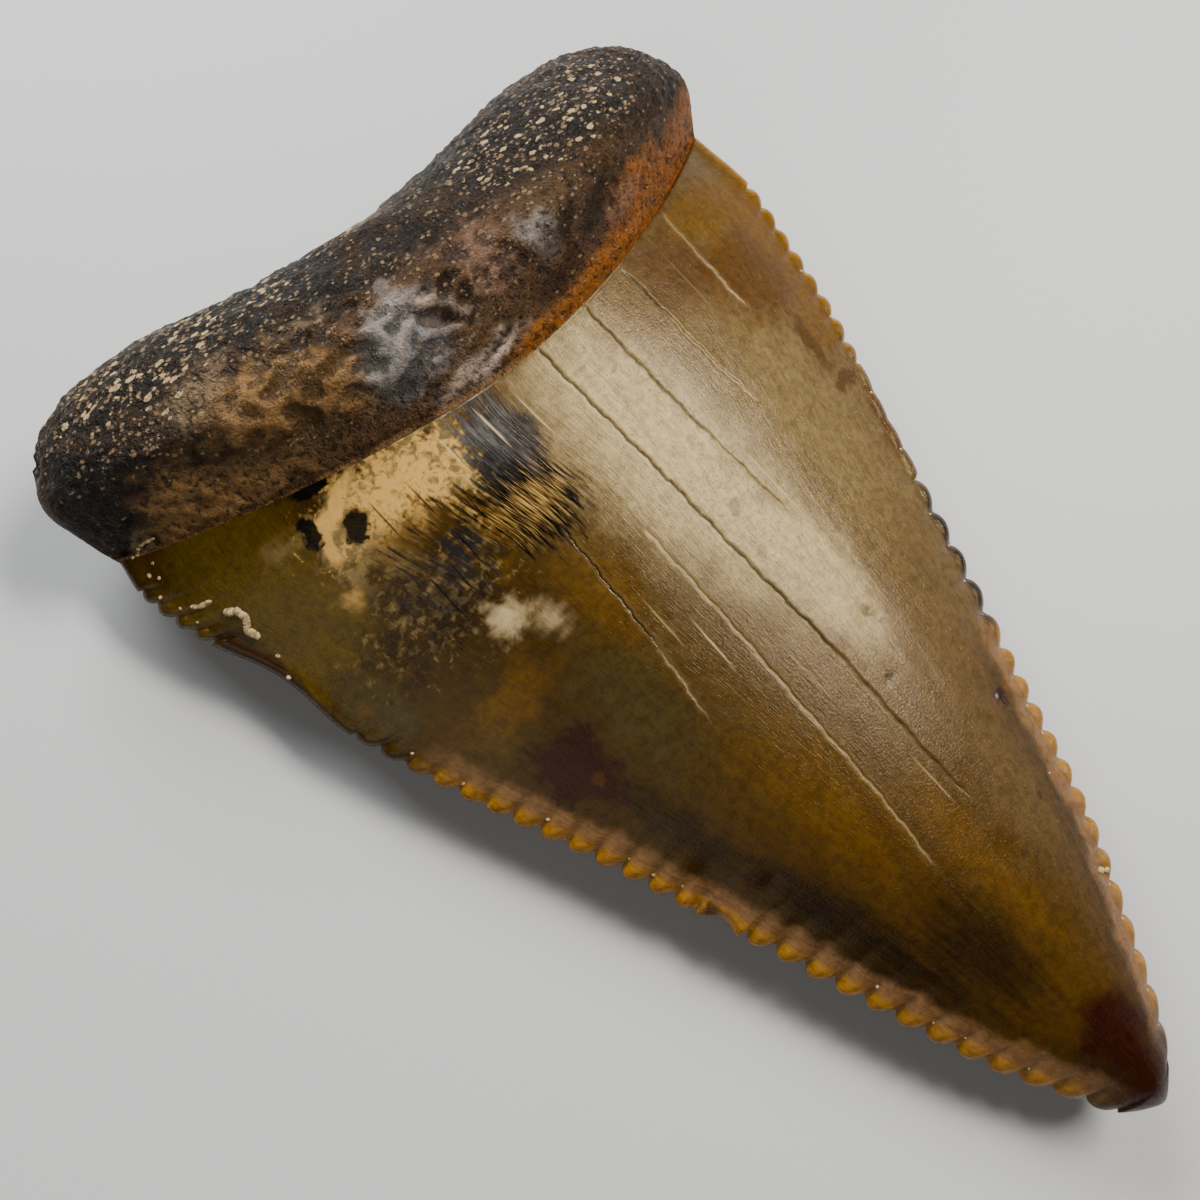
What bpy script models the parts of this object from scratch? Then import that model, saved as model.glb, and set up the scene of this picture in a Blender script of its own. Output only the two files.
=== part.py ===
"""Fossil great white shark tooth, one solid lying on its labial (outer) face.

The crown points to -Y, the root is at +Y, and the bulging lingual (inner) face looks up.
Sizes are in millimetres until the mesh is made, which is in metres.
Run with: blender --background --python part.py
"""

import math

import bmesh
import bpy
from mathutils import Vector

MM = 0.001

# Crown, as seen from above: (y, x) of each cutting edge from the tip to the shoulder
TIP_Y = -48.0
TIP_X = 0.6
TIP_RADIUS = 1.6
LEFT_EDGE = [
    (-48.0, -0.7), (-46.4, -1.7), (-42.0, -4.1), (-36.0, -6.5), (-30.0, -8.7), (-24.0, -11.0),
    (-18.0, -13.5), (-13.0, -15.3), (-8.0, -16.4), (-4.5, -17.8), (-2.0, -18.3), (0.0, -18.1),
]
RIGHT_EDGE = [
    (-48.0, 1.3), (-47.1, 2.1), (-45.6, 3.3), (-42.1, 5.3), (-37.6, 7.6), (-31.5, 9.8),
    (-24.8, 12.2), (-17.3, 14.6), (-12.2, 16.4), (-7.2, 17.6), (-4.0, 18.2), (0.0, 17.9),
]

# Root outline from the left shoulder round both lobes to the right shoulder
ROOT_LEFT_SIDE = [(-18.1, 0.0), (-18.6, 1.3), (-19.0, 3.0), (-18.3, 4.9)]
ROOT_MARGIN = [
    (-18.3, 4.9), (-16.1, 6.3), (-12.2, 6.7), (-7.0, 5.8), (-1.0, 5.0), (4.5, 5.6), (9.0, 6.5),
    (12.8, 6.6), (15.7, 5.6), (17.4, 4.0),
]
ROOT_RIGHT_SIDE = [(17.9, 0.0), (18.3, 1.1), (18.3, 2.6), (17.4, 4.0)]

# Serrations, from the tip up: (start y, end y, lobes, depth at start, depth at end)
LEFT_SERRATIONS = [
    (-46.9, -30.4, 12, 0.35, 0.75),
    (-28.4, -12.7, 13, 0.62, 0.32),
    (-5.5, -1.6, 4, 0.40, 0.30),
]
RIGHT_SERRATIONS = [
    (-47.0, -29.6, 13, 0.35, 0.50),
    (-29.6, -21.0, 5, 0.50, 0.36),
    (-21.0, -14.8, 4, 0.10, 0.10),
    (-14.8, -3.8, 8, 0.36, 0.28),
]
SERRATION_REACH = 0.8
LOBE_ROUNDNESS = 0.7

# Glassy chips out of the left edge: (y, half length, depth)
LEFT_CHIPS = [(-29.4, 1.1, 0.45), (-9.2, 3.4, 0.2)]

# Heights over the surface that the tooth lies on
EDGE_HEIGHT = 3.0
ROOT_MARGIN_HEIGHT = 4.9

# Lingual face: its rise over the cutting edges along the crown, then along the root
LINGUAL_RISE_TIP = 1.0
LINGUAL_RISE_BASE = 5.2
LINGUAL_TAPER = 0.8
BLADE_FLATNESS = 2.1
BLADE_POWER = 1.12
ROOT_RISE_BOUNDARY = 5.4
ROOT_RISE_CREST = 6.8
CREST_DEPTH = 0.45
LOBE_FLATNESS = 3.6
LOBE_POWER = 0.5
LOBE_EASE = 0.5
LOBE_THINNING = 0.28
MARGIN_ROUNDNESS = 3.6
MARGIN_EASE = 0.6

# Labial face: its drop under the cutting edges, cut off level where the tooth rests
LABIAL_DROP_TIP = 0.5
LABIAL_DROP_BASE = 3.25
LABIAL_TAPER = 0.62
LABIAL_FLATNESS = 2.4
LABIAL_POWER = 1.1
REST_CENTRE_Y = -11.0
REST_HALF_LENGTH = 9.0
ROOT_DROP = 2.88
ROOT_LIFT = 0.35

# Where the enamel ends: how far each face's boundary bows from the shoulder line to the tip
LINGUAL_BOW = 5.9
LABIAL_BOW = 3.0
BOW_START_Y = -22.0
BOW_POWER = 1.8
ROOT_LIP = 0.4
LIP_DIP = 0.2
LIP_DEPTH = 0.08

# Lumps, hollows and creases of the root's lingual face: (x, y, length, width, turn in degrees, height)
ROOT_RELIEF = [
    (4.5, -2.4, 2.6, 1.6, 20.0, 0.45),
    (-0.8, -1.2, 2.4, 1.1, 10.0, 0.40),
    (-1.8, -2.2, 2.0, 0.5, -35.0, -0.35),
    (-1.6, -4.0, 2.2, 0.9, 55.0, -0.40),
    (3.6, -4.3, 2.2, 0.9, 15.0, -0.30),
    (-7.4, -1.3, 3.4, 1.6, -8.0, 0.35),
    (-10.2, 0.6, 3.0, 0.9, -12.0, -0.22),
    (10.0, 1.5, 4.0, 2.2, -12.0, 0.30),
]

# Mesh density
COLUMNS = 22
COLUMN_CROWDING = 0.55
TIP_CROWDING = 0.10
CROWN_ROWS = 52
ROOT_ROWS = 15
SAMPLES_PER_LOBE = (0.0, 0.14, 0.36, 0.64, 0.86)
MIN_EDGE_STEP = 0.08

FOSSIL_COLOUR = (0.20, 0.115, 0.045, 1.0)
FOSSIL_ROUGHNESS = 0.35


def clear_scene():
    for item in list(bpy.data.objects):
        bpy.data.objects.remove(item, do_unlink=True)


def smooth(value):
    """Ease from 0 to 1."""
    value = min(max(value, 0.0), 1.0)
    return value * value * (3.0 - 2.0 * value)


def spline(knots, places, where):
    """Smooth curve through hand-set points, read at one place."""
    last = len(places) - 1
    index = 0
    while index < last - 1 and where > places[index + 1]:
        index += 1
    span = places[index + 1] - places[index]
    t = (where - places[index]) / span

    def slope(i):
        low, high = max(i - 1, 0), min(i + 1, last)
        return (knots[high] - knots[low]) / (places[high] - places[low])

    start, end = knots[index], knots[index + 1]
    t2, t3 = t * t, t * t * t
    return (
        (2.0 * t3 - 3.0 * t2 + 1.0) * start
        + (t3 - 2.0 * t2 + t) * span * slope(index)
        + (3.0 * t2 - 2.0 * t3) * end
        + (t3 - t2) * span * slope(index + 1)
    )


def plain_edge(side, y):
    """The cutting edge without its serrations, with the tip rounded off."""
    points = LEFT_EDGE if side < 0 else RIGHT_EDGE
    x = spline([p[1] for p in points], [p[0] for p in points], y)
    return mix(TIP_X, x, tip_rounding(y))


def serration(side, y):
    """How far the edge is cut in at this height: sharp notches between round lobes."""
    runs = LEFT_SERRATIONS if side < 0 else RIGHT_SERRATIONS
    for start, end, lobes, first, last in runs:
        if start <= y <= end:
            along = (y - start) / (end - start)
            depth = first + (last - first) * along
            return depth * (1.0 - abs(math.sin(math.pi * lobes * along)) ** LOBE_ROUNDNESS)
    for middle, half_length, depth in LEFT_CHIPS if side < 0 else []:
        if abs(y - middle) < half_length:
            return depth * math.cos(0.5 * math.pi * (y - middle) / half_length) ** 2
    return 0.0


def notch_rows(side):
    """Heights at which the edge has a corner or a lobe's crest."""
    runs = LEFT_SERRATIONS if side < 0 else RIGHT_SERRATIONS
    rows = []
    for start, end, lobes, _, _ in runs:
        pitch = (end - start) / lobes
        for lobe in range(lobes):
            rows += [start + (lobe + part) * pitch for part in SAMPLES_PER_LOBE]
        rows.append(end)
    return rows


def side_row_heights():
    """Heights of the rows along the crown, closer together at the round tip."""
    rows = []
    for row in range(1, CROWN_ROWS + 1):
        part = row / CROWN_ROWS
        part -= TIP_CROWDING * math.sin(math.pi * part) * (1.0 - part)
        rows.append(TIP_Y * (1.0 - part))
    return rows


def column_places():
    """Places across the tooth from -1 to 1, crowded towards both edges."""
    places = []
    for column in range(COLUMNS + 1):
        q = 2.0 * column / COLUMNS - 1.0
        round_q = math.sin(0.5 * math.pi * q)
        places.append((1.0 - COLUMN_CROWDING) * q + COLUMN_CROWDING * round_q)
    return places


def bow(face_bow, y, across):
    """How far a crown row is bent to the tip in its middle."""
    amount = face_bow * smooth((y - BOW_START_Y) / -BOW_START_Y)
    return amount * (1.0 - abs(across) ** BOW_POWER)


def crown_point(face_bow, y, across):
    left, right = plain_edge(-1, y), plain_edge(1, y)
    half_width = 0.5 * (right - left)
    x = 0.5 * (left + right) + half_width * across
    for side in (-1, 1):
        distance = (1.0 - side * across) * half_width
        x -= side * serration(side, y) * math.exp(-distance / SERRATION_REACH)
    return x, y - bow(face_bow, y, across)


def curve_point(points, part):
    """A point on a smooth curve through a short list of points, by even parts."""
    places = [i / (len(points) - 1) for i in range(len(points))]
    x = spline([p[0] for p in points], places, part)
    y = spline([p[1] for p in points], places, part)
    return x, y


def root_point(face_bow, depth, across):
    """A place in the root, which is stretched between its four curved sides."""
    side_part = 0.5 * (1.0 + across)
    start = crown_point(face_bow, 0.0, across)
    margin = curve_point(ROOT_MARGIN, side_part)
    left = curve_point(ROOT_LEFT_SIDE, depth)
    right = curve_point(ROOT_RIGHT_SIDE, depth)
    corners = (ROOT_LEFT_SIDE[0], ROOT_RIGHT_SIDE[0], ROOT_LEFT_SIDE[-1], ROOT_RIGHT_SIDE[-1])
    place = []
    for axis in (0, 1):
        ruled = (1.0 - depth) * start[axis] + depth * margin[axis]
        sides = (1.0 - side_part) * left[axis] + side_part * right[axis]
        near = (1.0 - side_part) * corners[0][axis] + side_part * corners[1][axis]
        far = (1.0 - side_part) * corners[2][axis] + side_part * corners[3][axis]
        place.append(ruled + sides - (1.0 - depth) * near - depth * far)
    return place[0], place[1]


def mix(start, end, part):
    return start + (end - start) * part


def tip_rounding(y):
    """1 along the crown, falling to 0 over the last stretch before the tip."""
    from_tip = min(max(y - TIP_Y, 0.0) / TIP_RADIUS, 1.0)
    return math.sqrt(1.0 - (1.0 - from_tip) ** 2)


def blade_profile(across):
    """Thickness across the crown, thin at the cutting edges."""
    return (1.0 - abs(across) ** BLADE_FLATNESS) ** BLADE_POWER


def root_profile(across, depth):
    """Thickness across the root: blade-like at the boundary, then blunt at the lobes."""
    ease = smooth(depth / LOBE_EASE)
    flatness = mix(BLADE_FLATNESS, LOBE_FLATNESS, ease)
    return (1.0 - abs(across) ** flatness) ** mix(BLADE_POWER, LOBE_POWER, ease)


def relief(x, y):
    """Lumps and creases of the root's lingual face."""
    total = 0.0
    for cx, cy, length, width, turn, height in ROOT_RELIEF:
        angle = math.radians(turn)
        along = (x - cx) * math.cos(angle) + (y - cy) * math.sin(angle)
        over = (y - cy) * math.cos(angle) - (x - cx) * math.sin(angle)
        total += height * math.exp(-((along / length) ** 2) - (over / width) ** 2)
    return total


def crown_heights(y, across):
    """Lingual and labial height at one place of the crown."""
    along = 1.0 - y / TIP_Y
    rise = mix(LINGUAL_RISE_TIP, LINGUAL_RISE_BASE, along ** LINGUAL_TAPER)
    drop = mix(LABIAL_DROP_TIP, LABIAL_DROP_BASE, smooth(along / LABIAL_TAPER))
    if y > REST_CENTRE_Y:
        from_rest = (y - REST_CENTRE_Y) / REST_HALF_LENGTH
        drop -= (LABIAL_DROP_BASE - EDGE_HEIGHT) * from_rest * from_rest
    labial_profile = (1.0 - abs(across) ** LABIAL_FLATNESS) ** LABIAL_POWER
    top = EDGE_HEIGHT + rise * blade_profile(across) * tip_rounding(y)
    bottom = EDGE_HEIGHT - drop * labial_profile * tip_rounding(y)
    return top, max(bottom, 0.0)


def root_heights(x, y, across, depth):
    """Lingual and labial height at one place of the root."""
    middle = mix(EDGE_HEIGHT, ROOT_MARGIN_HEIGHT, smooth(depth / MARGIN_EASE))
    roll = math.sqrt(max(1.0 - depth ** MARGIN_ROUNDNESS, 0.0))
    thickness = root_profile(across, depth) * roll
    crest = mix(ROOT_RISE_BOUNDARY, ROOT_RISE_CREST, smooth(depth / CREST_DEPTH))
    crest *= 1.0 - LOBE_THINNING * across * across
    lip = mix(-LIP_DIP, ROOT_LIP, smooth(depth / LIP_DEPTH)) * (1.0 - across ** 4)
    top = mix(middle, EDGE_HEIGHT + crest + lip + relief(x, y), thickness)
    drop = ROOT_DROP + middle - EDGE_HEIGHT - ROOT_LIFT * smooth(depth)
    return top, max(middle - drop * thickness, 0.0)


def sheet_point(face, row_kind, where, across):
    """One surface point: face is 1 for lingual, -1 for labial."""
    face_bow = LINGUAL_BOW if face > 0 else LABIAL_BOW
    if row_kind == "crown":
        x, y = crown_point(face_bow, where, across)
        top, bottom = crown_heights(where, across)
    else:
        x, y = root_point(face_bow, where, across)
        top, bottom = root_heights(x, y, across, where)
    return Vector((x, y, top if face > 0 else bottom))


def build_rows():
    rows = [("crown", y) for y in side_row_heights()]
    for row in range(1, ROOT_ROWS + 1):
        rows.append(("root", math.sin(0.5 * math.pi * row / ROOT_ROWS)))
    return rows


def edge_fill(side, low, high):
    """Extra edge heights between two rows, where serrations need them."""
    places = [y for y in notch_rows(side) if low + MIN_EDGE_STEP < y < high - MIN_EDGE_STEP]
    return sorted(places)


def add_outline(mesh, rows, across):
    """Points that both faces share: the edges and the root's margin, by row and column."""
    last_row, last_column = len(rows) - 1, len(across) - 1
    outline = {}
    for row, (kind, where) in enumerate(rows):
        columns = range(last_column + 1) if row == last_row else (0, last_column)
        for column in columns:
            place = sheet_point(1, kind, where, across[column])
            outline[row, column] = mesh.verts.new(place * MM)
    return outline


def add_serration_points(mesh, rows, last_column):
    """The edge points between one crown row and the next, which make the serrations."""
    points = {}
    for row in range(CROWN_ROWS - 1):
        for column, side in ((0, -1), (last_column, 1)):
            heights = edge_fill(side, rows[row][1], rows[row + 1][1])
            places = [sheet_point(1, "crown", y, float(side)) for y in heights]
            points[row, column] = [mesh.verts.new(place * MM) for place in places]
    return points


def add_face_sheet(mesh, face, rows, across, outline, serrations, tip):
    """One face of the tooth, as a grid that ends on the shared outline."""
    last_row, last_column = len(rows) - 1, len(across) - 1
    grid = dict(outline)
    for row in range(last_row):
        for column in range(1, last_column):
            place = sheet_point(face, *rows[row], across[column])
            grid[row, column] = mesh.verts.new(place * MM)
    loops = [[tip, grid[0, column + 1], grid[0, column]] for column in range(last_column)]
    for row in range(last_row):
        for column in range(last_column):
            right = serrations.get((row, column + 1), [])
            left = serrations.get((row, column), [])[::-1]
            near = [grid[row, column], grid[row, column + 1]]
            far = [grid[row + 1, column + 1], grid[row + 1, column]]
            loops.append(near + right + far + left)
    for loop in loops:
        mesh.faces.new(loop[::face])


def tooth_mesh():
    mesh = bmesh.new()
    rows = build_rows()
    across = column_places()
    outline = add_outline(mesh, rows, across)
    serrations = add_serration_points(mesh, rows, len(across) - 1)
    tip = mesh.verts.new(Vector((TIP_X, TIP_Y, EDGE_HEIGHT)) * MM)
    for face in (1, -1):
        add_face_sheet(mesh, face, rows, across, outline, serrations, tip)
    bmesh.ops.triangulate(mesh, faces=mesh.faces[:], quad_method="BEAUTY", ngon_method="BEAUTY")
    return mesh


def centre_on_base(mesh):
    """Put the origin under the middle of the tooth, where it rests."""
    lows = [min(v.co[axis] for v in mesh.verts) for axis in range(3)]
    highs = [max(v.co[axis] for v in mesh.verts) for axis in range(3)]
    shift = Vector((-(lows[0] + highs[0]) / 2, -(lows[1] + highs[1]) / 2, -lows[2]))
    bmesh.ops.translate(mesh, verts=mesh.verts[:], vec=shift)


def fossil_material():
    material = bpy.data.materials.new("fossil_enamel_and_root")
    material.use_nodes = True
    shader = material.node_tree.nodes["Principled BSDF"]
    shader.inputs["Base Color"].default_value = FOSSIL_COLOUR
    shader.inputs["Roughness"].default_value = FOSSIL_ROUGHNESS
    shader.inputs["Metallic"].default_value = 0.0
    return material


def main():
    clear_scene()
    mesh = tooth_mesh()
    centre_on_base(mesh)
    bmesh.ops.recalc_face_normals(mesh, faces=mesh.faces[:])
    data = bpy.data.meshes.new("tooth")
    mesh.to_mesh(data)
    mesh.free()
    data.materials.append(fossil_material())
    tooth = bpy.data.objects.new("tooth", data)
    bpy.context.scene.collection.objects.link(tooth)
    data.shade_smooth()
    data.set_sharp_from_angle(angle=math.radians(50.0))


main()
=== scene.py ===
"""Fossil great white shark tooth, lying on its outer face, with its enamel, root and chalk crumbs.

Lengths named in millimetres are turned into metres when a mesh is made. In the tooth's own
millimetre frame x is 0 midway between the shoulders, y is 0 at the shoulder line, the tip is
at y = -48 and z is the height over the surface that the tooth lies on.
"""

import math

import bpy
import numpy as np
from bpy.props import FloatProperty, FloatVectorProperty, IntProperty, PointerProperty
from mathutils import Matrix, Vector, noise


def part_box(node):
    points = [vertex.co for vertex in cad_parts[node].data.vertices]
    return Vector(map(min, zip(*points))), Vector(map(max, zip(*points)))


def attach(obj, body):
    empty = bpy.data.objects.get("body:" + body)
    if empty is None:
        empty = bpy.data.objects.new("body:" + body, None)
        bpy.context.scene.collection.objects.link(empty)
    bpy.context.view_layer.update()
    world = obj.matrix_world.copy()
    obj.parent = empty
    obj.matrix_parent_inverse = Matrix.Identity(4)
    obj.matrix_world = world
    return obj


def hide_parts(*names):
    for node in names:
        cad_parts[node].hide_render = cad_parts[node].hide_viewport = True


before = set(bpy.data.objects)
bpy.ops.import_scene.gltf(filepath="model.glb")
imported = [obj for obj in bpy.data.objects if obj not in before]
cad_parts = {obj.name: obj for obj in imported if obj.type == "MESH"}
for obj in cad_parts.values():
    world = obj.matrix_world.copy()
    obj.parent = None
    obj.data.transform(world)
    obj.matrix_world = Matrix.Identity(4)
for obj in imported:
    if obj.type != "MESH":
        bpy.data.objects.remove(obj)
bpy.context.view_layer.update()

bl_info = {
    "name": "Fossil shark tooth",
    "version": (1, 0, 0),
    "blender": (4, 5, 0),
    "location": "View3D > Sidebar > Fossil",
    "description": "Builds a fossil great white shark tooth with its enamel, root and chalk crumbs",
    "category": "Object",
}

MM = 0.001

# Outline of the crown from the tip to the shoulder: (y, x) of each cutting edge
TIP_Y = -48.0
TIP_X = 0.6
TIP_RADIUS = 1.6
LEFT_EDGE = [
    (-48.0, -0.7), (-46.4, -1.7), (-42.0, -4.1), (-36.0, -6.5), (-30.0, -8.7), (-24.0, -11.0),
    (-18.0, -13.5), (-13.0, -15.3), (-8.0, -16.4), (-4.5, -17.8), (-2.0, -18.3), (0.0, -18.1),
]
RIGHT_EDGE = [
    (-48.0, 1.3), (-47.1, 2.1), (-45.6, 3.3), (-42.1, 5.3), (-37.6, 7.6), (-31.5, 9.8),
    (-24.8, 12.2), (-17.3, 14.6), (-12.2, 16.4), (-7.2, 17.6), (-4.0, 18.2), (0.0, 17.9),
]

# Root outline from the left shoulder round both lobes to the right shoulder
ROOT_LEFT_SIDE = [(-18.1, 0.0), (-18.6, 1.3), (-19.0, 3.0), (-18.3, 4.9)]
ROOT_MARGIN = [
    (-18.3, 4.9), (-16.1, 6.3), (-12.2, 6.7), (-7.0, 5.8), (-1.0, 5.0), (4.5, 5.6), (9.0, 6.5),
    (12.8, 6.6), (15.7, 5.6), (17.4, 4.0),
]
ROOT_RIGHT_SIDE = [(17.9, 0.0), (18.3, 1.1), (18.3, 2.6), (17.4, 4.0)]

# Serrations from the tip up: (start y, end y, lobes, depth at start, depth at end)
LEFT_SERRATIONS = [
    (-46.9, -30.4, 12, 0.35, 0.75),
    (-28.4, -12.7, 13, 0.62, 0.32),
    (-5.5, -1.6, 4, 0.40, 0.30),
]
RIGHT_SERRATIONS = [
    (-47.0, -29.6, 13, 0.35, 0.50),
    (-29.6, -21.0, 5, 0.50, 0.36),
    (-21.0, -14.8, 4, 0.10, 0.10),
    (-14.8, -3.8, 8, 0.36, 0.28),
]
SERRATION_REACH = 0.8
LOBE_ROUNDNESS = 0.7
FULL_DEPTH = 0.5

# Glassy chips out of the left edge: (y, half length, depth)
LEFT_CHIPS = [(-29.4, 1.1, 0.45), (-9.2, 3.4, 0.2)]

# Heights of the two faces
EDGE_HEIGHT = 3.0
ROOT_MARGIN_HEIGHT = 4.9
LINGUAL_RISE_TIP = 1.0
LINGUAL_RISE_BASE = 5.2
LINGUAL_TAPER = 0.8
BLADE_FLATNESS = 2.1
BLADE_POWER = 1.12
ROOT_RISE_BOUNDARY = 5.4
ROOT_RISE_CREST = 6.8
CREST_DEPTH = 0.45
LOBE_FLATNESS = 3.6
LOBE_POWER = 0.5
LOBE_EASE = 0.5
LOBE_THINNING = 0.28
MARGIN_ROUNDNESS = 3.6
MARGIN_EASE = 0.6
LABIAL_DROP_TIP = 0.5
LABIAL_DROP_BASE = 3.25
LABIAL_TAPER = 0.62
LABIAL_FLATNESS = 2.4
LABIAL_POWER = 1.1
REST_CENTRE_Y = -11.0
REST_HALF_LENGTH = 9.0
ROOT_DROP = 2.88
ROOT_LIFT = 0.35

# Where the enamel ends on each face, and the lip of the root over it
LINGUAL_BOW = 5.9
LABIAL_BOW = 3.0
BOW_START_Y = -22.0
BOW_POWER = 1.8
LIP_DIP = 0.22
LIP_RISE = 0.40
LIP_DEPTH = 0.05

# Swelling of the lobes and hollow of the notches, measured in from the cutting edge
BEAD_PLACE = 0.38
BEAD_WIDTH = 0.30
VALLEY_REACH = 0.75
THIN_BELOW = 3.0

# Lumps, hollows and creases of the root: (x, y, length, width, turn in degrees, height)
ROOT_RELIEF = [
    (4.5, -2.4, 2.6, 1.6, 20.0, 0.45),
    (-0.8, -1.2, 2.4, 1.1, 10.0, 0.40),
    (-1.8, -2.2, 2.0, 0.5, -35.0, -0.35),
    (-1.6, -4.0, 2.2, 0.9, 55.0, -0.40),
    (3.6, -4.3, 2.2, 0.9, 15.0, -0.30),
    (-7.4, -1.3, 3.4, 1.6, -8.0, 0.35),
    (-10.2, 0.6, 3.0, 0.9, -12.0, -0.22),
    (10.0, 1.5, 4.0, 2.2, -12.0, 0.30),
]

# Sharper folds and creases of the root, finer than half a millimetre: the same six values
FINE_ROOT_RELIEF = [
    (-2.0, -1.75, 1.5, 0.28, -36.0, 0.42),
    (-1.5, -2.4, 1.7, 0.26, -38.0, -0.55),
    (-0.9, -3.1, 1.0, 0.28, 12.0, 0.26),
    (-3.8, -2.9, 1.5, 0.24, 28.0, 0.28),
    (-3.3, -3.6, 1.4, 0.26, 20.0, -0.26),
    (-4.6, -1.2, 1.3, 0.26, -50.0, 0.26),
    (-5.3, -1.5, 1.2, 0.28, -55.0, -0.22),
    (0.3, -0.7, 0.9, 0.26, -40.0, 0.28),
    (0.9, -1.2, 0.9, 0.26, -44.0, -0.24),
    (3.4, -2.2, 1.2, 0.22, -62.0, 0.28),
    (2.6, -1.9, 1.2, 0.26, -68.0, -0.28),
    (4.6, -1.6, 1.0, 0.26, 8.0, 0.20),
    (5.9, -2.5, 1.1, 0.30, 32.0, -0.22),
    (-1.6, -4.4, 1.9, 0.22, 26.0, 0.24),
    (-0.4, -4.9, 1.8, 0.20, 14.0, -0.20),
    (8.5, -2.2, 3.0, 0.45, 26.0, -0.22),
    (-9.0, -2.6, 2.2, 0.35, -22.0, -0.20),
    (-12.5, -1.0, 2.0, 0.40, -30.0, -0.20),
    (-6.6, 0.5, 1.7, 0.26, -4.0, 0.26),
    (-9.6, 0.3, 1.2, 0.24, -14.0, 0.20),
    (-4.4, 0.4, 1.2, 0.22, 6.0, 0.20),
    (-0.5, 3.0, 2.8, 0.70, -24.0, 0.20),
    (-18.4, 4.6, 0.5, 0.50, 0.0, -0.35),
]

# Small pits and marks in the enamel: (x, y, length, width, turn in degrees, height)
ENAMEL_RELIEF = [
    (5.0, -23.9, 0.42, 0.22, -30.0, -0.10),
    (5.25, -24.4, 0.34, 0.20, 20.0, -0.09),
    (3.6, -26.7, 0.20, 0.14, 0.0, -0.07),
    (-2.3, -21.0, 0.75, 0.75, 0.0, 0.05),
    (-2.3, -21.0, 0.45, 0.45, 0.0, -0.08),
    (7.7, -30.9, 0.45, 0.40, 0.0, -0.09),
    (-8.4, -28.2, 1.25, 0.80, 62.0, -0.26),
    (-12.8, -18.4, 0.55, 0.35, 60.0, -0.12),
    (-1.5, -44.6, 0.9, 0.40, 66.0, -0.05),
    (5.6, -39.6, 0.55, 0.35, -60.0, -0.10),
    (-6.2, -29.5, 0.4, 0.3, 0.0, -0.04),
]

# Lengthwise cracks of the enamel: points (y, x) from the tip end up, depth of the groove, and the
# y below which the crack is pale
CRACKS = [
    ([(-23.2, -3.8), (-20.5, -3.5), (-18.0, -3.3), (-15.0, -3.2), (-12.7, -3.1)], 0.02, -19.8),
    ([(-34.0, -0.62), (-30.0, -0.38), (-25.0, -0.34), (-20.0, -0.30), (-15.0, -0.42)], 0.05, -14.0),
    ([(-33.0, 2.68), (-30.0, 2.52), (-24.0, 2.48), (-19.5, 2.2), (-14.5, 1.9), (-8.0, 1.42),
      (-5.6, 1.3)], 0.14, -25.0),
    ([(-19.0, 5.45), (-14.8, 4.98), (-12.0, 4.7), (-8.5, 4.5), (-5.4, 4.38)], 0.11, -14.6),
    ([(-13.6, 8.0), (-11.5, 7.7), (-9.5, 7.5), (-7.0, 7.4), (-5.2, 7.28)], 0.07, -9.0),
    ([(-10.3, 11.95), (-9.5, 11.45), (-7.0, 11.38), (-3.6, 11.6)], 0.045, -3.0),
]
CRACK_FADE = 1.6
CRACK_JAGS = ((0.035, 3.1, 1.0), (0.022, 8.3, 2.0), (0.012, 17.9, 5.0))
CRACK_HALF_WIDTH = 0.045
CRACK_LIP_PLACE = 0.12
CRACK_LIP_WIDTH = 0.05
CRACK_LIP_HEIGHT = 0.10
CRACK_LIP_PALENESS = 0.14
CRACK_SIDE_STEPS = (-0.24, -0.12, -0.055, 0.0, 0.055, 0.12, 0.24)
CRACK_REFERENCE_WIDTH = 17.0
CRACK_CLEARANCE = 0.30

# Mesh density: rows along the tooth, columns across each face
CROWN_ROWS = 345
ROOT_ROWS = 105
LINGUAL_COLUMNS = 96
LABIAL_COLUMNS = 44
ROOT_COLUMNS = 240
COLUMN_CROWDING = 0.80
ROOT_CROWDING = 0.35
TIP_CROWDING = 0.10


def smooth(value):
    """Ease from 0 to 1."""
    value = np.clip(value, 0.0, 1.0)
    return value * value * (3.0 - 2.0 * value)


def mix(start, end, part):
    return start + (end - start) * part


def spline(points, where):
    """Smooth curve through (place, value) points with rising places, read at many places."""
    places = np.array([p[0] for p in points])
    values = np.array([p[1] for p in points])
    last = len(points) - 1
    low = np.maximum(np.arange(last + 1) - 1, 0)
    high = np.minimum(np.arange(last + 1) + 1, last)
    slopes = (values[high] - values[low]) / (places[high] - places[low])
    index = np.clip(np.searchsorted(places, where, side="left") - 1, 0, last - 1)
    span = places[index + 1] - places[index]
    t = np.clip((where - places[index]) / span, 0.0, 1.0)
    t2, t3 = t * t, t * t * t
    return (
        (2.0 * t3 - 3.0 * t2 + 1.0) * values[index]
        + (t3 - 2.0 * t2 + t) * span * slopes[index]
        + (3.0 * t2 - 2.0 * t3) * values[index + 1]
        + (t3 - t2) * span * slopes[index + 1]
    )


def tip_rounding(y):
    """1 along the crown, falling to 0 over the last stretch before the tip."""
    from_tip = np.clip((y - TIP_Y) / TIP_RADIUS, 0.0, 1.0)
    return np.sqrt(1.0 - (1.0 - from_tip) ** 2)


def plain_edge(side, y):
    """The cutting edge without its serrations, with the tip rounded off."""
    points = LEFT_EDGE if side < 0 else RIGHT_EDGE
    return mix(TIP_X, spline(points, y), tip_rounding(y))


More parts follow.
